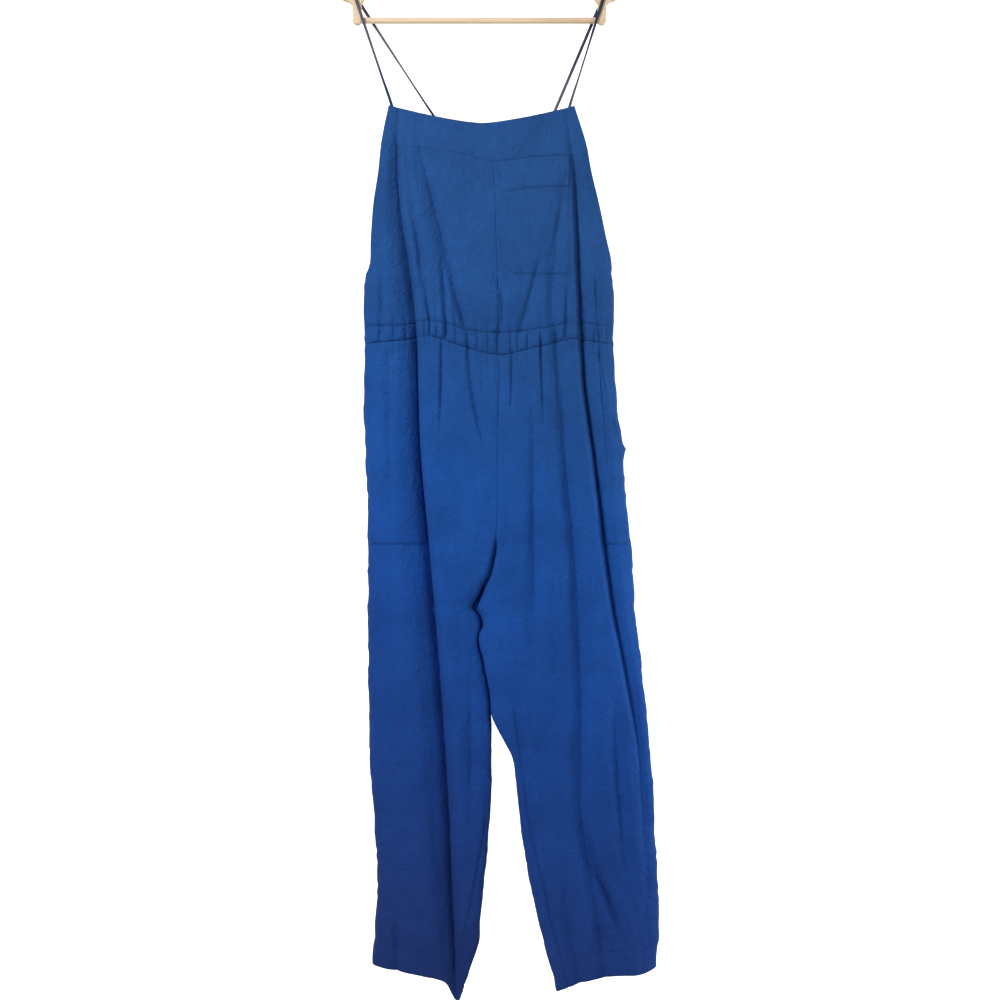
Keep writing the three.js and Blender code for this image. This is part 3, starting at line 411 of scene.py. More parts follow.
# Creases placed one by one: from one point to another with a bend, and the trough's depth and width.
# A negative depth is a ridge.
CREASES = {
    "front": table("""
x drop x_end drop_end bend depth width
-118 352 -104 520 4 1.2 5
-107 350 -98 470 -2 -1 7
-60 412 -28 560 4 -0.9 8
-30 430 -2 470 2 0.7 4
40 592 62 606 1 0.8 2.5
20 588 36 640 2 1 3
112 455 126 478 2 0.8 3
66 448 88 478 -3 0.7 4
-88 595 -76 668 1 1.6 3
-70 590 -62 672 1 1.3 2.6
-150 620 -146 672 0 1.2 3
-154 720 -144 800 3 1.5 5
-132 700 -128 770 0 1.3 4
-128 806 -150 900 4 -1.3 8
6 722 4 800 0 1.4 3.4
33 730 30 850 0 1.2 4
120 715 123 812 0 1.6 3
196 735 206 850 2 1.2 4
58 880 44 1040 -4 1.3 8
12 900 24 1040 3 1.1 7
-34 860 -26 1020 3 1 8
-18 1040 14 1082 -5 1.8 5
29 990 11 1078 2 11 3.8
18 1050 -8 1122 -2 12 3.8
-13 1096 7 1160 6 9 3.8
-18 1120 -6 1150 2 1.2 4
33 425 33 466 0 1.6 1.6
-134 344 -120 500 3 1.6 4
-106 350 -62 540 5 2.2 4.5
-66 520 -14 690 -4 2 4
-122 424 -78 600 -4 1.6 5
-96 540 -88 668 2 2 4
148 1465 224 1612 5 3.4 6
184 1508 236 1608 -3 1.6 5
178 1560 190 1650 3 2.2 5
24 1090 70 1135 6 1.2 6
0 1118 48 1195 7 1.3 6
-60 1105 -20 1108 4 1 5
110 1000 118 1290 4 1.6 9
62 1060 84 1250 5 1.4 8
-140 1010 -134 1200 3 1.3 9
-112 1180 -106 1390 4 1.4 9
-150 1330 -138 1470 3 1.2 7
92 1296 120 1330 4 1 5
118 1440 140 1560 5 1.3 7
200 1440 232 1540 5 1.6 6
228 1330 250 1440 4 1.5 6
170 1580 210 1668 6 1.6 6
-96 1560 -84 1672 3 1.4 8
-150 1585 -140 1660 2 1.3 6
-58 1590 -50 1690 2 1.5 5
"""),
    "back": table("""
x drop x_end drop_end bend depth width
-30 420 -40 640 -5 1.3 7
30 430 24 650 3 1.2 7
80 420 96 640 4 1.4 7
-70 430 -92 600 -4 1.4 7
130 480 150 660 4 1.2 7
-44 720 -36 900 3 1.5 6
40 720 50 880 2 1.4 6
130 720 140 860 3 1.4 6
12 960 -8 1080 -5 1.4 7
30 1085 80 1150 6 1.3 7
-70 1090 -18 1112 5 1.2 6
-140 960 -132 1180 4 1.4 9
170 1100 196 1340 6 1.4 9
90 1200 100 1400 4 1.3 8
-110 1350 -104 1560 4 1.5 8
190 1440 176 1650 -5 1.5 8
-20 1330 -24 1540 3 1.2 7
"""),
}
CREASE_FADE = 0.35
# Layers of the linen's unevenness: height, pitch across, distance down over which it slants by one, and
# pitch down.
CRUMPLE = table("""
height across slant down
1.0 24 190 66
0.6 10 -90 27
0.3 5 40 9
0.14 2.8 inf 3.5
""")
# Waves of the side edges, with their power towards the edge and where they start below the armholes.
WAVES = ((1.5, 27), (0.7, 9))
EDGE = Values(power=5, begins=60, full=20, inner=0.6)
# The lower end of the right pocket's opening, which stands out from the side seam.
POCKET_EAR = Values(drop=864, out=4.5, reach=8)
SEEDS = {"front": 3, "back": 11, "hem": 21, "rolled": 31, "edge": 41, "casing": 51, "band": 52, "pads": 61}

# The dip at a seam and the swell of its allowance beside it, then how strong each seam is.
DIP = Values(depth=0.7, width=1.5, swell=0.3, beside=5.5, swell_width=3.5)
TUG = Values(steady=0.6, uneven=0.6, pitch=9, top=0.3, bottom=1.3)
BAND = Values(steady=0.4, uneven=0.35, pitch=26)
ROLLED = Values(dip=2.2, begins=60, pucker=0.5, width=7, across=30, down=8)
CENTRE = Values(bodice=0.3, starts=425, full=440, ends=(60, 150))
RISE = Values(dip=(0.3, 1.1), deepens=900, past_fork=20, past_crotch=10, over=40)
HEM_FOLD = Values(depth=40, dip=0.6, width=1.8, step=0.5, over=4)
HEM_PUCKER = Values(height=0.7, across=8, down=60, above=14)

CHEST_POCKET = Values(left=28, right=138, bottom=597, corner_cut=26)
CHEST_FLAP = Values(left=34, bottom=470, lift=0.1, curl=0.25)
SIDE_POCKET_BOTTOM = 1012


def smoothstep(x, low, high):
    t = np.clip((x - low) / (high - low), 0, 1)
    return t * t * (3 - 2 * t)


def lerp(a, b, t):
    return a + (b - a) * t


def bell(distance, width):
    return np.exp(-((distance / width) ** 2))


def arch(t):
    """From 0 to 1 at the middle, and back to 0."""
    return 4 * t * (1 - t)


def neck_edge(face, x):
    neck = NECK[face]
    share = np.minimum(np.abs(x - neck.centre) / neck.half_width, 1)
    return neck.corner + neck.dip * (1 - share ** neck.power)


def outer_edge(face, side, drop):
    """Outer edge of a side of the front or back at a drop."""
    if face == "front":
        return outline[side](drop)
    return np.where(drop < UNDERARM, armhole[side](drop), outline[side](drop))


def outer_closure(face, drop):
    """How far a section has turned in at its outer end: slightly at the strap, wholly at the side seam."""
    top = NECK[face].corner
    t = np.clip((drop - top) / (UNDERARM - top), 0, 1)
    return lerp(ARMHOLE_TURN.at_strap, 1, t ** ARMHOLE_TURN.power)


def inner_closure(drop):
    """The same at the inner end: not at all along the centre seam, wholly along the inseam."""
    t = np.clip((drop - FORK) / (CROTCH - FORK), 0, 1)
    return np.arccos((1 - t * t) ** (1 / (4 * ROUNDING["inner"]))) / (math.pi / 2)


def slope_of(offset, reach_left, reach_right):
    """One fold's slope, from 1 at its sharp line to 0 at its reach."""
    u = np.abs(offset) / np.where(offset < 0, reach_left, reach_right)
    return (1 - np.minimum(u, 1)) ** FOLD_SHARPNESS


def short_folds(face, x, drop):
    """Depth of the shorter folds at each point."""
    depth = np.zeros(np.broadcast(x, drop).shape)
    for fold in FOLDS[face]:
        t = (drop - fold.top) / (fold.bottom - fold.top)
        line = (
            fold.x_top * (1 - t) * (1 - 2 * t)
            + fold.x_mid * 4 * t * (1 - t)
            + fold.x_end * t * (2 * t - 1)
        )
        fades = fold.fade_top, fold.fade_end
        fade_top, fade_end = (USUAL_FADE if math.isnan(fade) else fade for fade in fades)
        ends = smoothstep(t, 0, fade_top)
        if fade_end > 0:
            ends = ends * smoothstep(1 - t, 0, fade_end)
        inside = (t > 0) & (t < 1)
        depth += np.where(inside, fold.depth * ends * slope_of(x - line, fold.left, fold.right), 0)
    return depth


def long_folds(x, drop):
    reach = {
        "left": (long_depth["left_out"](drop), long_depth["left_in"](drop)),
        "middle": MIDDLE_REACH,
        "right": (long_depth["right_in"](drop), long_depth["right_out"](drop)),
    }
    return sum(long_depth[name](drop) * slope_of(x - long_fold[name](drop), *reach[name]) for name in reach)


def fold_strength(side, drop):
    return np.minimum(long_depth[side](drop) / LEANING.full_depth, 1)


def fold_bottom(x, drop):
    slope = slope_of(x - long_fold["left"](drop), FOLD_BOTTOM.left, FOLD_BOTTOM.right)
    return FOLD_BOTTOM.depth * fold_strength("left", drop) * slope


def lean_of(x, drop):
    """How far the cloth beside a long fold leans over it, as a shift in x."""
    shift = 0
    for side in SIDES:
        sign = -INWARD[side]
        share = np.clip(sign * (long_fold[side](drop) - x) / long_depth[side + "_in"](drop), 0, 1)
        shift = shift + sign * LEAN[side] * fold_strength(side, drop) * arch(share)
    return shift


# Multipliers that scatter the noise's values.
SCATTER = (127.1, 311.7, 74.7, 43758.5453)


def noise(x, y, seed):
    """Smooth noise from -1 to 1, with bumps about one unit apart."""
    xi, yi = np.floor(x), np.floor(y)
    fx, fy = smoothstep(x - xi, 0, 1), smoothstep(y - yi, 0, 1)

    def corner(i, j):
        value = np.sin((xi + i) * SCATTER[0] + (yi + j) * SCATTER[1] + seed * SCATTER[2]) * SCATTER[3]
        return 2 * (value - np.floor(value)) - 1

    return lerp(lerp(corner(0, 0), corner(1, 0), fx), lerp(corner(0, 1), corner(1, 1), fx), fy)


def gathers(face, x, drop):
    """Depth of the waist's pinches and of the gathers that run on from them, less the puffs between them."""
    top, end = casing[face]["top"](x), casing[face]["bottom"](x)
    above, below = np.maximum(top - drop, 0), np.maximum(drop - end, 0)
    away = above + below
    pinched, depth = np.zeros_like(away), np.zeros_like(away)
    for pinch in PINCHES[face]:
        offset = x - pinch.x - pinch.slant * above
        shape = bell(offset, PINCHED.narrow * pinch.width * (1 + away / PINCHED.widens))
        up, down = PINCHED.length * pinch.up, PINCHED.length * pinch.down
        fade = np.exp(-((above / up) ** PINCHED.power) - (below / down) ** PINCHED.power)
        pinched = np.maximum(pinched, shape)
        depth += PINCHED.share * pinch.depth * shape * fade
    beside = PUFF.reach
    puff = PUFF.above * smoothstep(above, 0, beside) * bell(above, 2 * beside)
    puff += PUFF.below * smoothstep(below, 0, beside) * bell(below, 2 * beside)
    inside = np.clip((drop - top) / (end - top), 0, 1)
    return depth - pads(face, x, drop, inside) - puff * (1 - PUFF.kept_flat * pinched)


def pads(face, x, drop, inside):
    """How far the casing stands out between two pinches, at a share of the way down it."""
    marks = np.array([pinch.x for pinch in PINCHES[face]])
    i = np.clip(np.searchsorted(marks, x) - 1, 0, len(marks) - 2)
    between = np.clip((x - marks[i]) / (marks[i + 1] - marks[i]), 0, 1)
    down = np.sin(math.pi * inside ** PAD.low) ** PAD.down
    across = np.sin(math.pi * between) ** PAD.across
    uneven = PUFF.uneven * noise(x / PUFF.pitch[0], drop / PUFF.pitch[1], SEEDS["pads"])
    return PUFF.pad * down * across * (1 + uneven)


def creases(face, x, drop):
    depth = np.zeros(np.broadcast(x, drop).shape)
    for row in CREASES[face]:
        along = np.array([row.x_end - row.x, row.drop_end - row.drop])
        length = np.linalg.norm(along)
        along = along / length
        t = ((x - row.x) * along[0] + (drop - row.drop) * along[1]) / length
        offset = (x - row.x) * along[1] - (drop - row.drop) * along[0] - row.bend * arch(t)
        ends = smoothstep(t, 0, CREASE_FADE) * smoothstep(1 - t, 0, CREASE_FADE)
        depth += row.depth * ends * bell(offset, row.width)
    return depth


def crumple(face, x, drop):
    """Soft unevenness of washed linen, longer down the cloth than across it."""
    return sum(
        layer.height * noise(x / layer.across + drop / layer.slant, drop / layer.down, seed)
        for seed, layer in enumerate(CRUMPLE, SEEDS[face])
    )


def seam_dip(distance):
    swell = DIP.swell * bell(distance - DIP.beside, DIP.swell_width)
    return DIP.depth * bell(distance, DIP.width) - swell


def casing_seams(face, x, drop):
    top, end = (np.abs(casing[face][edge](x) - drop) for edge in ("top", "bottom"))
    tug = TUG.steady + TUG.uneven * noise(x / TUG.pitch, 0 * drop, SEEDS["casing"])
    return tug * (TUG.top * seam_dip(top) + TUG.bottom * seam_dip(end))


def front_seams(x, drop):
    """The top band's seam and the rolled inseams."""
    strength = BAND.steady + BAND.uneven * noise(x / BAND.pitch, 0 * drop, SEEDS["band"])
    depth = strength * seam_dip(np.abs(band_seam(x) - drop))
    for side in SIDES:
        near = np.abs(x - rolled_seam[side](drop))
        on = smoothstep(drop, ROLLED_FROM[side], ROLLED_FROM[side] + ROLLED.begins)
        pucker = ROLLED.pucker * noise(x / ROLLED.across, drop / ROLLED.down, SEEDS["rolled"])
        depth += on * (ROLLED.dip * seam_dip(near) + bell(near, ROLLED.width) * pucker)
    return depth


def centre_seam(face, x, drop):
    on_trousers = (drop > WAIST) * smoothstep(CROTCH + RISE.past_crotch - drop, 0, RISE.over)
    deeper = smoothstep(drop, RISE.deepens, FORK + RISE.past_fork)
    strength = lerp(*RISE.dip, deeper) * on_trousers
    if face == "front":
        on_bodice = smoothstep(drop, CENTRE.starts, CENTRE.full) * smoothstep(WAIST - drop, *CENTRE.ends)
        strength = CENTRE.bodice * on_bodice + strength
    return seam_dip(np.abs(x - inner["left"](drop))) * strength


def hem_fold(x, drop):
    """The stitched line and thicker cloth of a hem, with the puckers above it."""
    hem_drop = np.where(x < BETWEEN_HEMS, hem["left"](x), hem["right"](x))
    into = drop - (hem_drop - HEM_FOLD.depth)
    pucker = noise(x / HEM_PUCKER.across, drop / HEM_PUCKER.down, SEEDS["hem"])
    pucker = HEM_PUCKER.height * pucker * bell(np.maximum(-into, 0), HEM_PUCKER.above)
    step = HEM_FOLD.step * smoothstep(into, 0, HEM_FOLD.over)
    return HEM_FOLD.dip * bell(into, HEM_FOLD.width) - step + pucker


def cloth_depth(face, x, drop):
    depth = gathers(face, x, drop) + creases(face, x, drop) + crumple(face, x, drop)
    depth = depth + casing_seams(face, x, drop) + centre_seam(face, x, drop) + hem_fold(x, drop)
    return depth + front_seams(x, drop) if face == "front" else depth


def cloth_on_side(face, side, x, drop):
    """Points of the cloth's outer face, on one side of the centre seam or in one leg."""
    front = face == "front"
    outer_x, inner_x = outer_edge(face, side, drop), inner[side](drop)
    sin_outer = np.sin(math.pi / 2 * outer_closure(face, drop))
    sin_inner = np.sin(math.pi / 2 * inner_closure(drop))
    radius = np.abs(inner_x - outer_x) / (sin_outer + sin_inner)
    middle = outer_x + INWARD[side] * radius * sin_outer
    s = np.clip((x - middle) / radius, -1, 1)
    outer_half = INWARD[side] * s < 0
    rounding = np.where(outer_half, ROUNDING[side], ROUNDING["inner"]) if front else ROUNDING["back"]
    base = outline[face](drop) * (1 - s * s) ** rounding

    begins, full = UNDERARM - EDGE.begins, UNDERARM + EDGE.full
    at_edge = np.abs(s) ** EDGE.power * smoothstep(drop, begins, full)
    wave = 0
    for seed, (height, pitch) in enumerate(WAVES, SEEDS["edge"]):
        wave = wave + height * noise(drop / pitch, 0 * drop, seed)
    if side == "right":
        wave = wave + POCKET_EAR.out * np.exp(-np.abs(drop - POCKET_EAR.drop) / POCKET_EAR.reach)
    x = x + at_edge * wave * np.where(np.abs(x - outer_x) < np.abs(x - inner_x), 1.0, EDGE.inner)

    folds = short_folds(face, x, drop) + (long_folds(x, drop) if front else 0)
    room = np.maximum(SHARE_OF_DEPTH * base, 1e-6)
    depth = base - room * np.tanh((folds + cloth_depth(face, x, drop)) / room)
    if front:
        depth = depth - fold_bottom(x, drop) * np.tanh(depth / FOLD_BOTTOM.depth)
        x = x + lean_of(x, drop) * np.tanh(base / LEANING.thin)
    y = OUT[face] * (HALF_SEAM + depth) - inner["forward_" + side](drop)
    return np.stack([x, y, -drop], axis=-1)


def cloth(face, x, drop, side=None):
    """Points of the cloth's outer face. Without a side, each point finds its own side of the centre seam."""
    x, drop = np.broadcast_arrays(np.asarray(x, float), np.asarray(drop, float))
    if side:
        return cloth_on_side(face, side, x, drop)
    left, right = (cloth_on_side(face, each, x, drop) for each in SIDES)
    return np.where((x < inner["left"](drop))[..., None], left, right)


def unit(vectors):
    return vectors / np.maximum(np.linalg.norm(vectors, axis=-1, keepdims=True), 1e-9)


def outward(face, down, across):
    """Normals out of a face, from directions down it and across it."""
    return -OUT[face] * unit(np.cross(down, across))


def cloth_normal(face, x, drop, side=None, step=1.2):
    across = cloth(face, x + step, drop, side) - cloth(face, x - step, drop, side)
    down = cloth(face, x, drop + step, side) - cloth(face, x, drop - step, side)
    return outward(face, down, across)


def grid_normals(face, points):
    return outward(face, np.gradient(points, axis=0), np.gradient(points, axis=1))


def length_along(points, axis=0):
    """The distance run along an axis of a line or grid of points, from 0."""
    steps = np.linalg.norm(np.diff(points, axis=axis), axis=-1)
    return np.concatenate([0 * steps.take([0], axis=axis), np.cumsum(steps, axis=axis)], axis=axis)


def smooth_down(values, reach=4):
    """Each row averaged with its neighbours."""
    padded = np.pad(values, ((reach, reach), (0, 0)), mode="edge")
    return sum(padded[i : i + len(values)] for i in range(2 * reach + 1)) / (2 * reach + 1)


def cloth_grid(face, rows, columns, edges, drop_at, side=None, dense=1400, passes=5):
    """Points, normals and cloth coordinates of a piece: rows down it, evenly spaced columns along each row.
    edges(drop) gives its left and right x, and drop_at(row, x) the drop of a row at an x."""
    if isinstance(rows, int):
        rows = np.linspace(0, 1, rows)

    def place(share):
        row = np.repeat(rows[:, None], share.shape[1], axis=1)
        drop = row
        for _ in range(passes):
            left, right = edges(drop)
            x = lerp(left, right, share)
            drop = drop_at(row, x)
        return cloth(face, x, drop, side)

    even = 0.5 - 0.5 * np.cos(np.linspace(0, math.pi, dense))
    along = length_along(place(np.repeat(even[None, :], len(rows), axis=0)), axis=1)
    targets = along[:, -1:] * np.linspace(0, 1, columns + 1)
    picked = np.stack([np.interp(target, line, even) for target, line in zip(targets, along)])
    points = place(smooth_down(picked))
    u = length_along(points, axis=1)
    v = length_along(points).mean(axis=1, keepdims=True) + np.zeros_like(u)
    if side == "right":
        u = u - u[:, -1:]
    return {"points": points, "normals": grid_normals(face, points), "uv": np.stack([u, v], axis=-1)}


def loop_round(rows, columns):
    """Indices round the edge of a grid, in order."""
    index = np.arange(rows * columns).reshape(rows, columns)
    return np.concatenate([index[0, :-1], index[:-1, -1], index[-1, :0:-1], index[:0:-1, 0]])


def outward_round(points):
    """Directions out of a grid's edge, in the same order as loop_round."""
    out = np.zeros_like(points)
    out[0] += points[0] - points[1]
    out[-1] += points[-1] - points[-2]
    out[:, 0] += points[:, 0] - points[:, 1]
    out[:, -1] += points[:, -1] - points[:, -2]
    return unit(out.reshape(-1, 3)[loop_round(*points.shape[:2])])


def add_object(name, data):
    thing = bpy.data.objects.new(name, data)
    bpy.context.scene.collection.objects.link(thing)
    return thing


def mesh_object(name, vertices, faces, uv, material, rim=0):
    """A new object from millimetre vertices, faces and one cloth coordinate for each vertex. The last rim
    faces are a cut edge, shaded flat."""
    mesh = bpy.data.meshes.new(name)
    mesh.from_pydata((np.asarray(vertices) * MM).tolist(), [], [tuple(f) for f in faces])
    layer = mesh.uv_layers.new(name="Cloth")
    corners = np.zeros(len(mesh.loops), np.int32)
    mesh.loops.foreach_get("vertex_index", corners)
    layer.data.foreach_set("uv", (np.asarray(uv)[corners] * MM).astype(np.float32).ravel())
    mesh.polygons.foreach_set("use_smooth", [True] * (len(faces) - rim) + [False] * rim)
    mesh.materials.append(material)
    return add_object(name, mesh)


def shell(name, node, grid, inside, outside=0, bulge=0.0):
    """A closed sheet of cloth that stands for a node: it lies between two distances out from a grid, with a
    rounded edge."""
    points, normals = grid["points"], grid["normals"]
    rows, columns = points.shape[:2]
    count = rows * columns
    upper, lower = ((points + normals * out).reshape(-1, 3) for out in (outside, inside))
    index = np.arange(count).reshape(rows, columns)
    corners = index[:-1, :-1], index[1:, :-1], index[1:, 1:], index[:-1, 1:]
    front = np.stack(corners, axis=-1).reshape(-1, 4)
    loop = loop_round(rows, columns)
    rim = 2 * count + np.arange(len(loop))
    after, rim_after = np.roll(loop, -1), np.roll(rim, -1)
    over, under = [loop, after, rim_after, rim], [rim, rim_after, after + count, loop + count]
    sides = np.concatenate([np.stack(over, axis=1), np.stack(under, axis=1)])
    turned = np.cross(upper[front[:, 1]] - upper[front[:, 0]], upper[front[:, 2]] - upper[front[:, 0]])
    if (turned * normals.reshape(-1, 3)[front[:, 0]]).sum() < 0:
        front, sides = front[:, ::-1], sides[:, ::-1]
    edge = (upper[loop] + lower[loop]) / 2 + outward_round(points) * bulge
    uv = grid["uv"].reshape(-1, 2)
    vertices, uvs = np.concatenate([upper, lower, edge]), np.concatenate([uv, uv, uv[loop]])
    faces = np.concatenate([front, front[:, ::-1] + count, sides]).tolist()
    keep(mesh_object(name, vertices, faces, uvs, LINEN, rim=len(sides)), "linen", node)


# Materials
def rgb(red, green, blue):
    """A colour given as in a picture, from 0 to 255, as light."""

    def light(value):
        value = value / 255
        return value / 12.92 if value <= 0.04045 else ((value + 0.055) / 1.055) ** 2.4

    return (light(red), light(green), light(blue), 1.0)


class Nodes:
    """A material's nodes, added one by one and joined by name."""

    def __init__(self, name):
        self.material = bpy.data.materials.new(name)
        self.material.use_nodes = True
        self.tree = self.material.node_tree
        self.shader = self.tree.nodes["Principled BSDF"]

    def add(self, kind, inputs=None, **settings):
        node = self.tree.nodes.new(kind)
        for key, value in settings.items():
            setattr(node, key, value)
        for key, value in (inputs or {}).items():
            self.set(node, key, value)
        return node

    def set(self, node, key, value):
        if isinstance(value, bpy.types.NodeSocket):
            self.tree.links.new(value, node.inputs[key])
        else:
            node.inputs[key].default_value = value

    def shade(self, inputs):
        """Sets the shader's inputs, and gives the finished material."""
        for key, value in inputs.items():
            self.set(self.shader, key, value)
        return self.material

    def object_place(self):
        return self.add("ShaderNodeTexCoord").outputs["Object"]

    def noise(self, scale, on_cloth=True, **settings):
        place = self.add("ShaderNodeUVMap", uv_map="Cloth").outputs["UV"] if on_cloth else self.object_place()
        vector = self.add("ShaderNodeMapping", {"Vector": place, "Scale": scale}).outputs["Vector"]
        return self.add("ShaderNodeTexNoise", {"Vector": vector, "Scale": 1.0, **settings}).outputs["Fac"]

    def ramp(self, value, *stops):
        node = self.add("ShaderNodeValToRGB", {"Fac": value})
        elements = node.color_ramp.elements
        while len(elements) < len(stops):
            elements.new(0.5)
        for element, (place, color) in zip(elements, stops):
            element.position = place
            element.color = color
        return node.outputs["Color"]

    def math(self, operation, first, second):
        return self.add("ShaderNodeMath", {0: first, 1: second}, operation=operation).outputs[0]

    def mingle(self, first, second, share):
        """A share of the second value with the rest of the first."""
        parts = self.math("MULTIPLY", first, 1 - share), self.math("MULTIPLY", second, share)
        return self.math("ADD", *parts)

    def scaled(self, value, low, factor):
        return self.math("ADD", low, self.math("MULTIPLY", value, factor))

    def bump(self, height, distance, strength, normal=None):
        inputs = {"Height": height, "Distance": distance, "Strength": strength}
        if normal is not None:
            inputs["Normal"] = normal
        return self.add("ShaderNodeBump", inputs).outputs["Normal"]


def grey(value):
    return (value, value, value, 1)


# Painted shade: the colour ramp runs down this height in metres, slanted across so that it darkens the left
# side sooner.
COLOUR_AND_SHADE_LENGTH = 1.9
COLOUR_AND_SHADE_SLANT = 0.5


def linen_material(name, colour_and_shade_by_drop):
    """Washed linen: uneven threads both ways, thick slubs and cloudy mottling, on a colour picked by height.
    colour_and_shade_by_drop gives the colour at each drop: for the linen and its thread, the cloth's blue
    with painted shade that darkens it towards the bottom and the left, where the light falls off; for the
    ribbon, its colour along the strap."""
    nodes = Nodes(name)
    warp = nodes.noise((1500, 45, 1), Detail=3.0, Roughness=0.6)
    weft = nodes.noise((45, 1500, 1), Detail=3.0, Roughness=0.6)
    threads = nodes.mingle(warp, weft, 0.5)
    clouds = nodes.noise((14, 14, 14), on_cloth=False, Detail=4.0, Roughness=0.6)
    mottle = nodes.mingle(threads, clouds, 0.4)
    tone = nodes.ramp(mottle, (0.33, grey(0.74)), (0.5, grey(1)), (0.68, (1.34, 1.3, 1.25, 1)))
    # Painted shade: the colour is looked up by height, slanted across, so the cloth darkens towards the hem
    # and the left, where the light falls off.
    place = nodes.add("ShaderNodeSeparateXYZ", {0: nodes.object_place()})
    height = nodes.math("ADD", place.outputs["Z"], nodes.math("MULTIPLY", place.outputs["X"], COLOUR_AND_SHADE_SLANT))
    fade = nodes.math("DIVIDE", height, -COLOUR_AND_SHADE_LENGTH)
    colour_and_shade = nodes.ramp(fade, *[(drop * MM / COLOUR_AND_SHADE_LENGTH, rgb(*color)) for drop, color in colour_and_shade_by_drop.items()])
    color = nodes.add("ShaderNodeMix", {0: 1.0, 6: colour_and_shade, 7: tone}, data_type="RGBA", blend_type="MULTIPLY")
    slubs = nodes.ramp(threads, (0.55, grey(0)), (0.75, grey(1)))
    crinkle = nodes.noise((70, 62, 1), Detail=3.0, Roughness=0.55, Distortion=1.0)
    ridges = nodes.math("ABSOLUTE", nodes.math("SUBTRACT", crinkle, 0.5), 0)
    rumpled = nodes.bump(ridges, distance=0.0055, strength=0.8)
    woven = nodes.bump(threads, distance=0.0004, strength=0.6, normal=rumpled)
    return nodes.shade(
        {
            "Base Color": color.outputs[2],
            "Normal": nodes.bump(slubs, distance=0.0004, strength=0.5, normal=woven),
            "Roughness": nodes.scaled(threads, 0.78, 0.16),
            "Specular IOR Level": 0.12,
            "Sheen Weight": 0.05,
            "Sheen Roughness": 0.6,
            "Sheen Tint": rgb(150, 175, 215),
        }
    )


def wood_material(name, dark, light):
    """Pale beech: long grain with short flecks, under a thin satin lacquer."""
    nodes = Nodes(name)
    grain = nodes.noise((6, 160, 160), on_cloth=False, Detail=5.0, Roughness=0.6, Distortion=0.4)
    flecks = nodes.noise((120, 900, 900), on_cloth=False)
    tone = nodes.mingle(grain, flecks, 0.25)
    return nodes.shade(
        {
            "Base Color": nodes.ramp(tone, (0.3, dark), (0.7, light)),
            "Roughness": nodes.scaled(tone, 0.5, 0.2),
            "Normal": nodes.bump(tone, distance=0.0002, strength=0.4),
            "Specular IOR Level": 0.2,
        }
    )


def steel_material(name):
    """Chromed wire with faint drawing marks along it."""
    nodes = Nodes(name)
    marks = nodes.noise((900, 900, 60), on_cloth=False, Detail=3.0, Roughness=0.6)
    return nodes.shade(
        {
            "Base Color": nodes.ramp(marks, (0.3, rgb(196, 198, 202)), (0.7, rgb(226, 228, 230))),
            "Roughness": nodes.scaled(marks, 0.14, 0.2),
            "Normal": nodes.bump(marks, distance=0.0001, strength=0.15),
            "Metallic": 1.0,
        }
    )


def plain_material(name, color, glow=0.0):
    inputs = {"Base Color": color, "Roughness": 0.9, "Emission Color": grey(1), "Emission Strength": glow}
    return Nodes(name).shade(inputs)


# The linen's blue at each drop, greyer at the top, with painted shade that darkens it towards the hem.
LINEN_COLOUR_AND_SHADE = {
    334: (34, 78, 137),
    700: (30, 78, 143),
    900: (24, 79, 157),
    1150: (23, 75, 156),
    1400: (24, 65, 140),
    1700: (29, 54, 116),
}
# The thread's paler blue at each drop, with the same painted shade that darkens it towards the hem.
THREAD_COLOUR_AND_SHADE = {334: (50, 96, 152), 900: (36, 90, 160), 1150: (24, 70, 142), 1700: (24, 46, 98)}
# The ribbon's colour at each drop: dark grey-blue by the hanger's arm, pale grey along the strap, blue at its
# end in the cloth.
RIBBON_COLOURS_BY_DROP = {180: (50, 55, 76), 240: (84, 86, 98), 340: (96, 98, 108), 365: (40, 58, 96)}
LINEN = linen_material("blue_linen", LINEN_COLOUR_AND_SHADE)
THREAD = linen_material("blue_thread", THREAD_COLOUR_AND_SHADE)
RIBBON = linen_material("navy_ribbon", RIBBON_COLOURS_BY_DROP)
BEECH = wood_material("pale_beech", rgb(204, 178, 142), rgb(240, 220, 190))
STEEL = steel_material("chromed_wire")


def keep(piece, slot, *nodes):
    """Lets a piece ride with the object and stand for the nodes it replaces."""
    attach(piece, "root")
    if nodes:
        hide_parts(*nodes)


def spread(low, high, step):
    return np.linspace(low, high, max(2, int(round((high - low) / step)) + 1))


# Rows and columns of each piece of cloth. The trousers' rows are given by the step between them.
GRIDS = {
    "band": (38, 170),
    "left": (110, 130),
    "right": (110, 120),
    "back": (100, 180),
    "casing": (16, 420),
    "chest": (80, 56),
    "flap": (34, 56),
    "hip": (170, 28),
}
TROUSER_GRIDS = {"front": (4, 140), "back": (5, 90)}


# Bodice, casing and trousers
def whole_width(face):
    return lambda drop: tuple(outer_edge(face, side, drop) for side in SIDES)


def half_width(side, gap_at):
    """From a side's outer edge to a gap short of the centre seam or inseam, left first."""

    def edges(drop):
        ends = outline[side](drop), inner[side](drop) - INWARD[side] * gap_at(drop)
        return ends[:: INWARD[side]]

    return edges


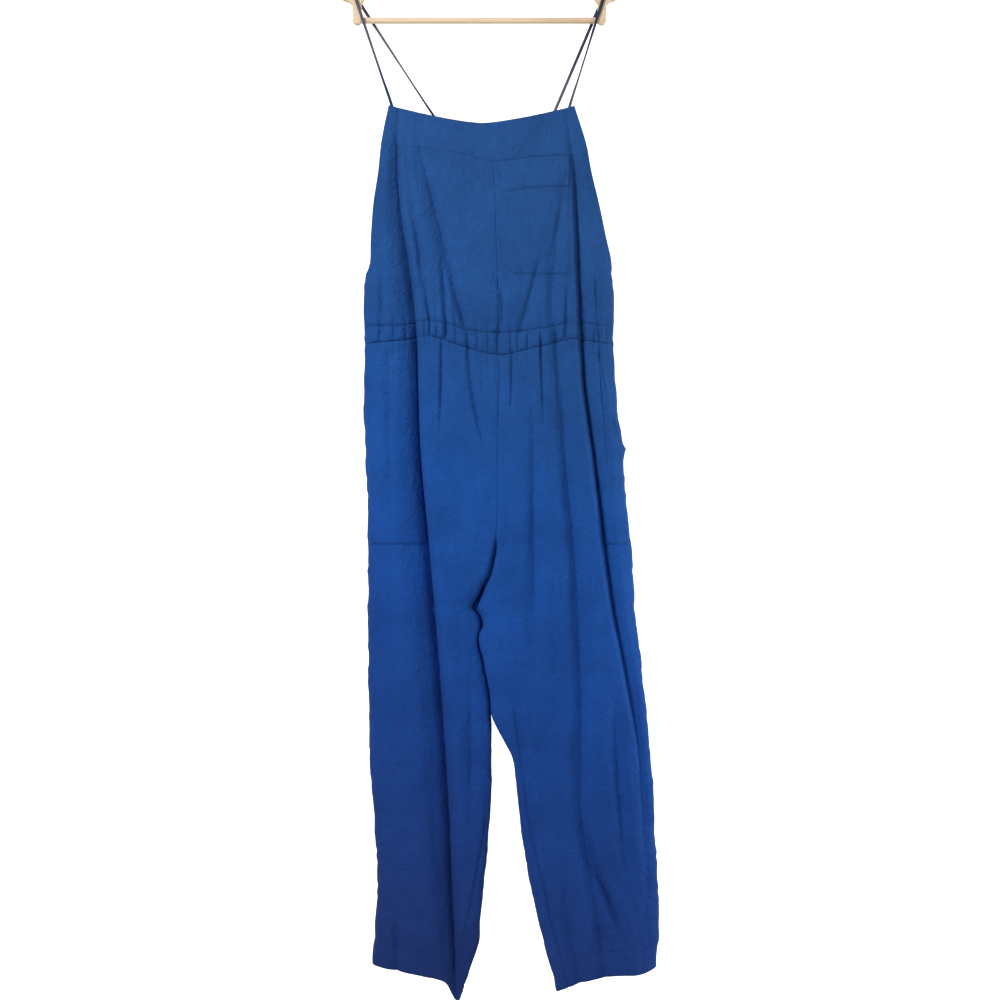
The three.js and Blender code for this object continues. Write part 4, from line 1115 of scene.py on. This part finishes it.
def make_bodice():
    def band_drop(row, x):
        return lerp(neck_edge("front", x), band_seam(x) - HALF_SEAM, row)

    def panel_drop(row, x):
        return lerp(band_seam(x) + HALF_SEAM, casing["front"]["top"](x) - WAIST_SEAM, row)

    def back_drop(row, x):
        return lerp(neck_edge("back", x), casing["back"]["top"](x) - WAIST_SEAM, row)

    grid = cloth_grid("front", *GRIDS["band"], whole_width("front"), band_drop)
    shell("top_band", "front_band", grid, -CLOTH, bulge=0.3)
    for side in SIDES:
        edges = half_width(side, lambda drop: HALF_SEAM)
        grid = cloth_grid("front", *GRIDS[side], edges, panel_drop, side)
        shell(f"bodice_panel_{side}", f"front_bodice_{side}", grid, -CLOTH)
    grid = cloth_grid("back", *GRIDS["back"], whole_width("back"), back_drop)
    shell("back_panel", "back_bodice", grid, -CLOTH, bulge=0.3)


def make_casing():
    for face in FACES:

        def drop_at(row, x):
            return lerp(casing[face]["top"](x) + WAIST_SEAM, casing[face]["bottom"](x) - WAIST_SEAM, row)

        grid = cloth_grid(face, *GRIDS["casing"], whole_width(face), drop_at)
        shell(f"elastic_waist_{face}", f"waist_casing_{face}", grid, -CASING_WALL)


def trouser_gap(drop):
    """The gap at the centre seam, which turns into a lap along the inseam."""
    return HALF_SEAM * (1 - 3 * smoothstep(drop, FORK, CROTCH))


def make_trousers():
    for side in SIDES:
        for face, (step, columns) in TROUSER_GRIDS.items():

            def drop_at(row, x):
                pull = casing[face]["bottom"](x) + WAIST_SEAM - WAIST
                return (
                    row
                    + pull * (1 - smoothstep(row, WAIST, WAIST_PULL_ENDS))
                    + (hem[side](x) - HEM) * smoothstep(row, HEM_PULL_BEGINS, HEM)
                )

            edges = half_width(side, trouser_gap)
            grid = cloth_grid(face, spread(WAIST, HEM, step), columns, edges, drop_at, side)
            shell(f"trouser_{face}_{side}", f"{face}_leg_{side}", grid, -CLOTH, bulge=0.1)


# Patches that lie on a panel, thinner along their pressed edges
PRESSED = Values(chest=0.3, hip=0.12, reach=4)
OVER_PANEL = 0.15


def shares(rows, columns):
    """Shares of the way down a patch and across it."""
    return np.meshgrid(np.linspace(0, 1, rows), np.linspace(0, 1, columns), indexing="ij")


def patch(name, node, side, x, drop, lift, pressed):
    """A sheet on the front's cloth, from its points' places and how far out each lies."""
    points = cloth("front", x, drop, side)
    points = points + cloth_normal("front", x, drop, side) * (lift + 0 * x)[..., None]
    u = length_along(points, axis=1)
    from_edge = np.minimum(np.minimum(u, u[:, -1:] - u), drop[-1:] - drop)
    thick = CLOTH * lerp(pressed, 1, smoothstep(from_edge, 0, PRESSED.reach))[..., None]
    grid = {"points": points, "normals": grid_normals("front", points), "uv": np.stack([u, drop], axis=-1)}
    shell(name, node, grid, 0, thick, bulge=0.1)


def chest_drop(row, x):
    """The drop of a row of the chest pocket, which follows the band's seam at the top."""
    pull = 1 - smoothstep(row, CHEST_FLAP.bottom, BAND_PULL_ENDS)
    return row + (band_seam(x) - band_seam(CHEST_POCKET.left)) * pull


def chest_top(x, below=1.0):
    return band_seam(x) + below


def make_chest_pocket():
    pocket = CHEST_POCKET
    down, across = shares(*GRIDS["chest"])
    row = lerp(chest_top(pocket.left), pocket.bottom, down)
    cut = np.clip(row - (pocket.bottom - pocket.corner_cut), 0, pocket.corner_cut)
    x = lerp(pocket.left + cut, pocket.right, across)
    patch("breast_pocket", "chest_pocket", "right", x, chest_drop(row, x), OVER_PANEL, PRESSED.chest)

    down, across = shares(*GRIDS["flap"])
    x = lerp(CHEST_FLAP.left, pocket.right, across)
    drop = lerp(chest_top(x), chest_drop(CHEST_FLAP.bottom, x), down)
    lift = OVER_PANEL + CLOTH + CHEST_FLAP.lift + CHEST_FLAP.curl * down**2
    patch("breast_pocket_flap", "chest_pocket_flap", "right", x, drop, lift, PRESSED.chest)


# How far a side pocket's inner edge tucks past the long fold, and how far its top lies below the casing.
POCKET_TUCK = Values(past_fold=1.5, below_waist=1, below_casing=1.2)
POCKET_SINK = Values(depth=0.45, reach=4)
# Small ridges where the opening's stitches draw the cloth in.
POCKET_PUCKERS = Values(pitch=5.6, height=1.2, reach=4.5)


def make_side_pockets():
    for side in SIDES:
        down, across = shares(*GRIDS["hip"])
        row = lerp(WAIST + POCKET_TUCK.below_waist, SIDE_POCKET_BOTTOM, down)
        opening = outline[side](row) + INWARD[side] * pocket_opening[side](row)
        reach = long_fold[side](row) - INWARD[side] * POCKET_TUCK.past_fold
        x = lerp(*(opening, reach)[:: INWARD[side]], across)
        drop = lerp(casing["front"]["bottom"](x) + POCKET_TUCK.below_casing, SIDE_POCKET_BOTTOM, down)
        ridge = 0.5 + 0.5 * np.cos(2 * math.pi * drop / POCKET_PUCKERS.pitch)
        pucker = POCKET_PUCKERS.height * ridge * bell(x - opening, POCKET_PUCKERS.reach)
        above_edge = (1 - down) * (SIDE_POCKET_BOTTOM - WAIST)
        lift = OVER_PANEL + pucker - POCKET_SINK.depth * bell(above_edge, POCKET_SINK.reach)
        patch(f"hip_pocket_{side}", f"side_pocket_{side}", side, x, drop, lift, PRESSED.hip)


# Rows of stitches, each a small bead of thread whose ends sink into the cloth
STITCH = Values(pitch=3.6, half_length=1.35, radius=0.27, corners=5, ahead=0.5)
# The rings of a bead: its place along the bead, its radius and its rise, as shares.
STITCH_RINGS = np.array([[-1, -0.75, 0, 0.75, 1], [0.4, 0.95, 1, 0.95, 0.4], [-0.5, 0.1, 0.35, 0.1, -0.5]])


def circle(count):
    """Cosines and sines of a circle's corners."""
    angle = np.linspace(0, 2 * math.pi, count, endpoint=False)
    return np.cos(angle), np.sin(angle)


def sample(points, along, at):
    """Points at given distances along a line."""
    return np.stack([np.interp(at, along, column) for column in points.T], axis=1)


def tube_faces(tubes, rings, corners):
    """Faces round each tube's rings, and one across each of its ends."""
    index = np.arange(tubes * rings * corners).reshape(tubes, rings, corners)
    low, high = index[:, :-1], index[:, 1:]
    round_it = np.stack([low, np.roll(low, -1, axis=2), np.roll(high, -1, axis=2), high], axis=-1)
    return round_it.reshape(-1, 4).tolist() + index[:, 0, ::-1].tolist() + index[:, -1].tolist()


def stitch_rows(piece, *rows):
    """One piece of thread for a sheet's rows of stitches. A row is a face, a side or None, its x, its drop,
    and how far the sheet's outer face lies over the panel's."""
    cos, sin = (part[:, None] for part in circle(STITCH.corners))
    place, size, rise = STITCH_RINGS[:, None, :, None]
    beads = []
    for face, side, x, drop, lift in rows:
        x, drop = np.broadcast_arrays(x, drop)
        normals = cloth_normal(face, x, drop, side)
        points = cloth(face, x, drop, side) + normals * lift
        along = length_along(points)
        at = np.arange(STITCH.pitch / 2, along[-1], STITCH.pitch)
        middle, out = sample(points, along, at), unit(sample(normals, along, at))
        forth = unit(sample(points, along, at + STITCH.ahead) - middle)
        across = np.cross(forth, out)
        centre = middle[:, None] + forth[:, None] * place * STITCH.half_length
        centre = centre + out[:, None] * rise * STITCH.radius
        turn = across[:, None, None] * cos + out[:, None, None] * sin
        beads.append(centre[:, :, None] + turn * size[..., None] * STITCH.radius)
    beads = np.concatenate(beads)
    points = beads.reshape(-1, 3)
    name = f"{piece}_stitches"
    keep(mesh_object(name, points, tube_faces(*beads.shape[:3]), points[:, [0, 2]], THREAD), "linen")


# How far a row lies inside its edge, where rows run from and to, and how closely they follow the cloth.
SEWN_IN = 2.4
SEWN = {"waist": (-172, 204), "band": (-148, 160), "left": (-158, -42), "right": (130, 268)}
FOLLOW = Values(waist=2, usual=3)
ROLLED_ROWS = Values(beside=(-2, 2), inside=50)
HIP_ROWS = Values(below=12, above=6, short=6)
CHEST_ROWS = Values(under_flap=4, corner=1, over_flap=0.3)


def sew_panels():
    """The rows along the casing, the hems, the rolled inseams and the top band."""
    for face in FACES:
        x = spread(*SEWN["waist"], FOLLOW.waist)
        top, end = casing[face]["top"](x) + SEWN_IN, casing[face]["bottom"](x) - SEWN_IN
        stitch_rows(f"elastic_waist_{face}", (face, None, x, top, 0), (face, None, x, end, 0))
        for side in SIDES:
            x = spread(*SEWN[side], FOLLOW.usual)
            rows = [(face, side, x, hem[side](x) - HEM_FOLD.depth + SEWN_IN, 0)]
            if face == "front":
                low, high = ROLLED_FROM[side] + ROLLED_ROWS.inside, HEM - ROLLED_ROWS.inside
                drop = spread(low, high, FOLLOW.usual)
                rows += [(face, side, rolled_seam[side](drop) + by, drop, 0) for by in ROLLED_ROWS.beside]
            stitch_rows(f"trouser_{face}_{side}", *rows)
    x = spread(*SEWN["band"], FOLLOW.usual)
    stitch_rows("top_band", ("front", None, x, band_seam(x) - SEWN_IN, 0))


def sew_pockets():
    over, step = OVER_PANEL + CLOTH, FOLLOW.usual
    pocket = CHEST_POCKET
    left, right, end = pocket.left + SEWN_IN, pocket.right - SEWN_IN, pocket.bottom - SEWN_IN
    corner = pocket.corner_cut - CHEST_ROWS.corner
    top = CHEST_FLAP.bottom + CHEST_ROWS.under_flap
    down, full_down = spread(top, end - corner, step), spread(top, end, step)
    edge, cut = spread(left + corner, right, step), spread(0, corner, 2)
    stitch_rows(
        "breast_pocket",
        ("front", "right", left, chest_drop(down, left), over),
        ("front", "right", left + cut, end - corner + cut, over),
        ("front", "right", edge, chest_drop(end, edge), over),
        ("front", "right", right, chest_drop(full_down, right), over),
    )
    x = spread(CHEST_FLAP.left + SEWN_IN, right, step)
    drop = chest_drop(CHEST_FLAP.bottom - SEWN_IN, x)
    stitch_rows("breast_pocket_flap", ("front", "right", x, drop, 2 * over + CHEST_ROWS.over_flap))
    for side in SIDES:
        drop = spread(WAIST + HIP_ROWS.below, SIDE_POCKET_BOTTOM - HIP_ROWS.above, step)
        opening = outline[side](drop) + INWARD[side] * (pocket_opening[side](drop) + SEWN_IN)
        far = long_fold[side](SIDE_POCKET_BOTTOM) - INWARD[side] * HIP_ROWS.short
        x = spread(*(opening[-1], far)[:: INWARD[side]], step)[:: INWARD[side]]
        rows = ("front", side, opening, drop, over), ("front", side, x, SIDE_POCKET_BOTTOM - SEWN_IN, over)
        stitch_rows(f"hip_pocket_{side}", *rows)


# Straps: one narrow ribbon each, from inside the front's corner, over the hanger's arm, to inside the back.
STRAP = Values(half_width=2.5, half_thick=0.7, sewn=20, inside=2.3, clear=0.7, over_arm=8.3)
STRAP_BEND = Values(drop=4, power=4, leaves_arm=6, points=13)
STRAP_SECTION = Values(corners=20, flat=0.5, round=0.8)
STRAP_RINGS = 300
STRAP_ENDS = {"left": {"front": -135, "back": -52}, "right": {"front": 139, "back": 101}}
STRAP_DRIFT = {"front": {"sewn": 2, "arm": 1.5}, "back": {"sewn": 4, "arm": 2.5}}
# Degrees that each strap's stretches are twisted out of flat.
STRAP_TWISTS = {"left": {"front": 48, "back": 66}, "right": {"front": 68, "back": 25}}
# Places between the top edge and the arm, and the share of the twist at the ends and at those places.
STRAP_PLACES = (0.25, 0.5, 0.75)
STRAP_TURNED = np.array([0, 0.4, 1, 1, 0.6, 0])
HANGER = Values(notch=195, notch_drop=155, edge=1.2, edge_segments=3)
BAR = Values(radius=4.8, drop=200, half=189.7, rings=60, corners=40)
# The bar's rounded ends: how far in from the end, and how far under the full radius.
BAR_ENDS = {0: 1.2, 0.3: 0.35, 1.2: 0}
# The hook turns from one angle to another through a number of points.
HOOK = Values(radius=22, wire=2, length=200, rings=220, corners=24, turn=(200, -50, 24))
# The bend from the hook to its stem and the stem: x and the distance below the hook's centre.
HOOK_BEND = ((5, 26.5), (0.6, 35))
HOOK_STEM = Values(begins=44, ends=98, points=5)
# Shares of the wire's radius at its rounded tip.
HOOK_TIP = (0.35, 0.72, 0.9, 0.97)
# How far round a tube its cloth coordinate runs.
GIRTH = 12


def smooth_path(points, count, finer=8):
    """A curve through points, at evenly spaced places."""
    points = np.asarray(points, float)
    steps = np.linalg.norm(np.diff(points, axis=0), axis=1) ** 0.5
    knots = np.concatenate([[0], np.cumsum(steps)])
    fine = np.linspace(0, knots[-1], count * finer)
    curve = np.stack([through(knots, column)(fine) for column in points.T], axis=1)
    length = length_along(curve)
    return sample(curve, length, np.linspace(0, length[-1], count))


def tube(name, rings, lengths, material):
    """A closed tube from rings of points and the distance along it of each."""
    rings = np.asarray(rings)
    count, corners = rings.shape[:2]
    u = np.tile(np.linspace(0, 1, corners, endpoint=False) * GIRTH, count)
    uv = np.stack([u, np.repeat(lengths, corners)], axis=1)
    return mesh_object(name, rings.reshape(-1, 3), tube_faces(1, count, corners), uv, material)


def strap_path(side):
    """Points of a strap from front to back, with the ribbon's turn out of flat at each."""
    sign = -INWARD[side]
    arm_x, arm_drop = sign * HANGER.notch, HANGER.notch_drop

    def tucked(face, x, drop):
        return cloth(face, x, drop, side) - np.array([0, OUT[face] * STRAP.inside, 0])

    def stretch(face):
        """From the sewn end, past the top edge, up to the arm."""
        x, drift = STRAP_ENDS[side][face], STRAP_DRIFT[face]
        edge = float(neck_edge(face, x))
        top = tucked(face, x, edge)
        off_arm = arm_drop + STRAP_BEND.leaves_arm
        arm = np.array([arm_x - sign * drift["arm"], OUT[face] * STRAP.over_arm, -off_arm])
        end = tucked(face, x - sign * drift["sewn"], edge + STRAP.sewn)
        return [end, top, *[lerp(top, arm, t) for t in STRAP_PLACES], arm]

    seat = arm_drop - STRAP.clear - STRAP.half_thick
    over = []
    for angle in np.linspace(0, math.pi, STRAP_BEND.points):
        below = STRAP_BEND.drop * abs(math.cos(angle)) ** STRAP_BEND.power
        over.append([arm_x, -STRAP.over_arm * math.cos(angle), -seat - below])
    front, back = (STRAP_TURNED * STRAP_TWISTS[side][face] for face in FACES)
    turns = [*front, *[0] * len(over), *back[::-1]]
    return np.array([*stretch("front"), *over, *stretch("back")[::-1]]), np.radians(turns)


def make_straps():
    cos, sin = circle(STRAP_SECTION.corners)
    wide = np.sign(cos) * np.abs(cos) ** STRAP_SECTION.flat * STRAP.half_width
    thick = np.sign(sin) * np.abs(sin) ** STRAP_SECTION.round * STRAP.half_thick
    for side in SIDES:
        points, turns = strap_path(side)
        path = smooth_path(points, STRAP_RINGS)
        marks = [int(np.argmin(np.linalg.norm(path - point, axis=1))) for point in points]
        turn = np.interp(np.arange(len(path)), marks, turns)[:, None]
        along = unit(np.gradient(path, axis=0))
        flat = unit(np.array([1.0, 0, 0]) - along * along[:, :1])
        rise = np.cross(along, flat)
        across, out = flat * np.cos(turn) + rise * np.sin(turn), rise * np.cos(turn) - flat * np.sin(turn)
        rings = path[:, None] + across[:, None] * wide[None, :, None] + out[:, None] * thick[None, :, None]
        keep(tube(f"ribbon_{side}", rings, length_along(path), RIBBON), "strap", f"strap_{side}")


def dress_arms():
    arms = bpy.data.objects["hanger_arms"]
    arms.data.materials.clear()
    arms.data.materials.append(BEECH)
    edges = arms.modifiers.new("rounded_edges", "BEVEL")
    edges.width = HANGER.edge * MM
    edges.segments = HANGER.edge_segments
    edges.limit_method = "ANGLE"


def make_bar():
    radius, half = BAR.radius, BAR.half
    first, second, last = BAR_ENDS
    long = np.linspace(last - half, half - last, BAR.rings)
    x = np.concatenate([[first - half, second - half], long, [half - second, half - first]])
    size = np.full(len(x), radius)
    size[[0, -1]], size[[1, -2]] = radius - BAR_ENDS[first], radius - BAR_ENDS[second]
    cos, sin = circle(BAR.corners)
    rings = [np.stack([0 * cos + at, r * cos, r * sin - BAR.drop], axis=1) for at, r in zip(x, size)]
    keep(tube("turned_bar", rings, x + half, BEECH), "hanger_wood", "hanger_bar")


def make_hook():
    ring, centre = HOOK.radius + HOOK.wire, -HOOK.radius
    points = [
        [ring * math.cos(math.radians(a)), 0, centre + ring * math.sin(math.radians(a))]
        for a in np.linspace(*HOOK.turn)
    ]
    points += [[x, 0, centre - below] for x, below in HOOK_BEND]
    stem = np.linspace(centre - HOOK_STEM.begins, -HOOK_STEM.ends, HOOK_STEM.points)
    points += [[0, 0, z] for z in stem]
    path = smooth_path(points, HOOK.rings)
    side = np.array([0, 1.0, 0])
    out = np.cross(unit(np.gradient(path, axis=0)), side)
    size = np.full(len(path), float(HOOK.wire))
    size[: len(HOOK_TIP)] *= HOOK_TIP
    cos, sin = (part[None, :, None] for part in circle(HOOK.corners))
    rings = path[:, None] + size[:, None, None] * (out[:, None] * cos + side * sin)
    keep(tube("bent_hook", rings, np.linspace(0, HOOK.length, len(path)), STEEL), "hook_steel", "hanger_hook")


# Light, floor, backdrop and camera, in metres
STAGE = Values(half=6, back=4.4, floor=-2.86, top=4)
LIGHT_TARGET = (0.03, 0, -0.75)
# The world's colour and strength, then each light's place, target, size and power.
WORLD = {"Color": (1, 0.86, 0.84, 1), "Strength": 0.17}
LIGHTS = {
    "key": ((-1.55, -1.9, 0.5), LIGHT_TARGET, (0.9, 0.9), 66),
    "fill": ((2.4, -1.9, 0.0), LIGHT_TARGET, (1.4, 1.8), 23),
    "rim": ((2.2, 0.05, -0.8), LIGHT_TARGET, (0.6, 2.0), 34),
    "rear": ((0.3, 1.4, 1.6), (0, 0.2, -0.6), (2.0, 1.0), 10),
}
CAMERA = Values(place=(0.0318, -3.1, -0.943), lens=72, sensor=36)


def add_card(name, corners, material):
    mesh = bpy.data.meshes.new(name)
    mesh.from_pydata(corners, [], [(0, 1, 2, 3)])
    mesh.materials.append(material)
    add_object(name, mesh)


def add_stage():
    half, back, floor, top = STAGE.half, STAGE.back, STAGE.floor, STAGE.top
    white = plain_material("white_card", (0.96, 0.96, 0.96, 1), glow=1.0)
    pale = plain_material("pale_floor", (0.86, 0.86, 0.87, 1))
    low, high = [(-half, back, floor), (half, back, floor)], [(half, back, top), (-half, back, top)]
    add_card("backdrop", low + high, white)
    add_card("floor", [(-half, -half, floor), (half, -half, floor), *low[::-1]], pale)


def aim(thing, target):
    direction = np.array(target) - np.array(thing.location)
    flat = math.hypot(direction[0], direction[1])
    thing.rotation_euler = (math.atan2(flat, -direction[2]), 0, math.atan2(-direction[0], direction[1]))


def add_lights():
    world = bpy.data.worlds.new("soft_room")
    bpy.context.scene.world = world
    world.use_nodes = True
    for key, value in WORLD.items():
        world.node_tree.nodes["Background"].inputs[key].default_value = value
    for name, (place, target, size, power) in LIGHTS.items():
        light = bpy.data.lights.new(name, "AREA")
        light.shape = "RECTANGLE"
        light.size, light.size_y = size
        light.energy = power
        lamp = add_object(name, light)
        lamp.location = place
        aim(lamp, target)


def add_camera():
    data = bpy.data.cameras.new("camera")
    data.sensor_width = CAMERA.sensor
    data.lens = CAMERA.lens
    camera = add_object("camera", data)
    camera.location = CAMERA.place
    camera.rotation_euler = (math.pi / 2, 0, 0)
    bpy.context.scene.camera = camera
    bpy.context.scene.view_settings.view_transform = "Standard"


add_camera()
add_lights()
add_stage()
dress_arms()
make_bar()
make_hook()
make_straps()
make_bodice()
make_casing()
make_trousers()
make_chest_pocket()
make_side_pockets()
sew_panels()
sew_pockets()
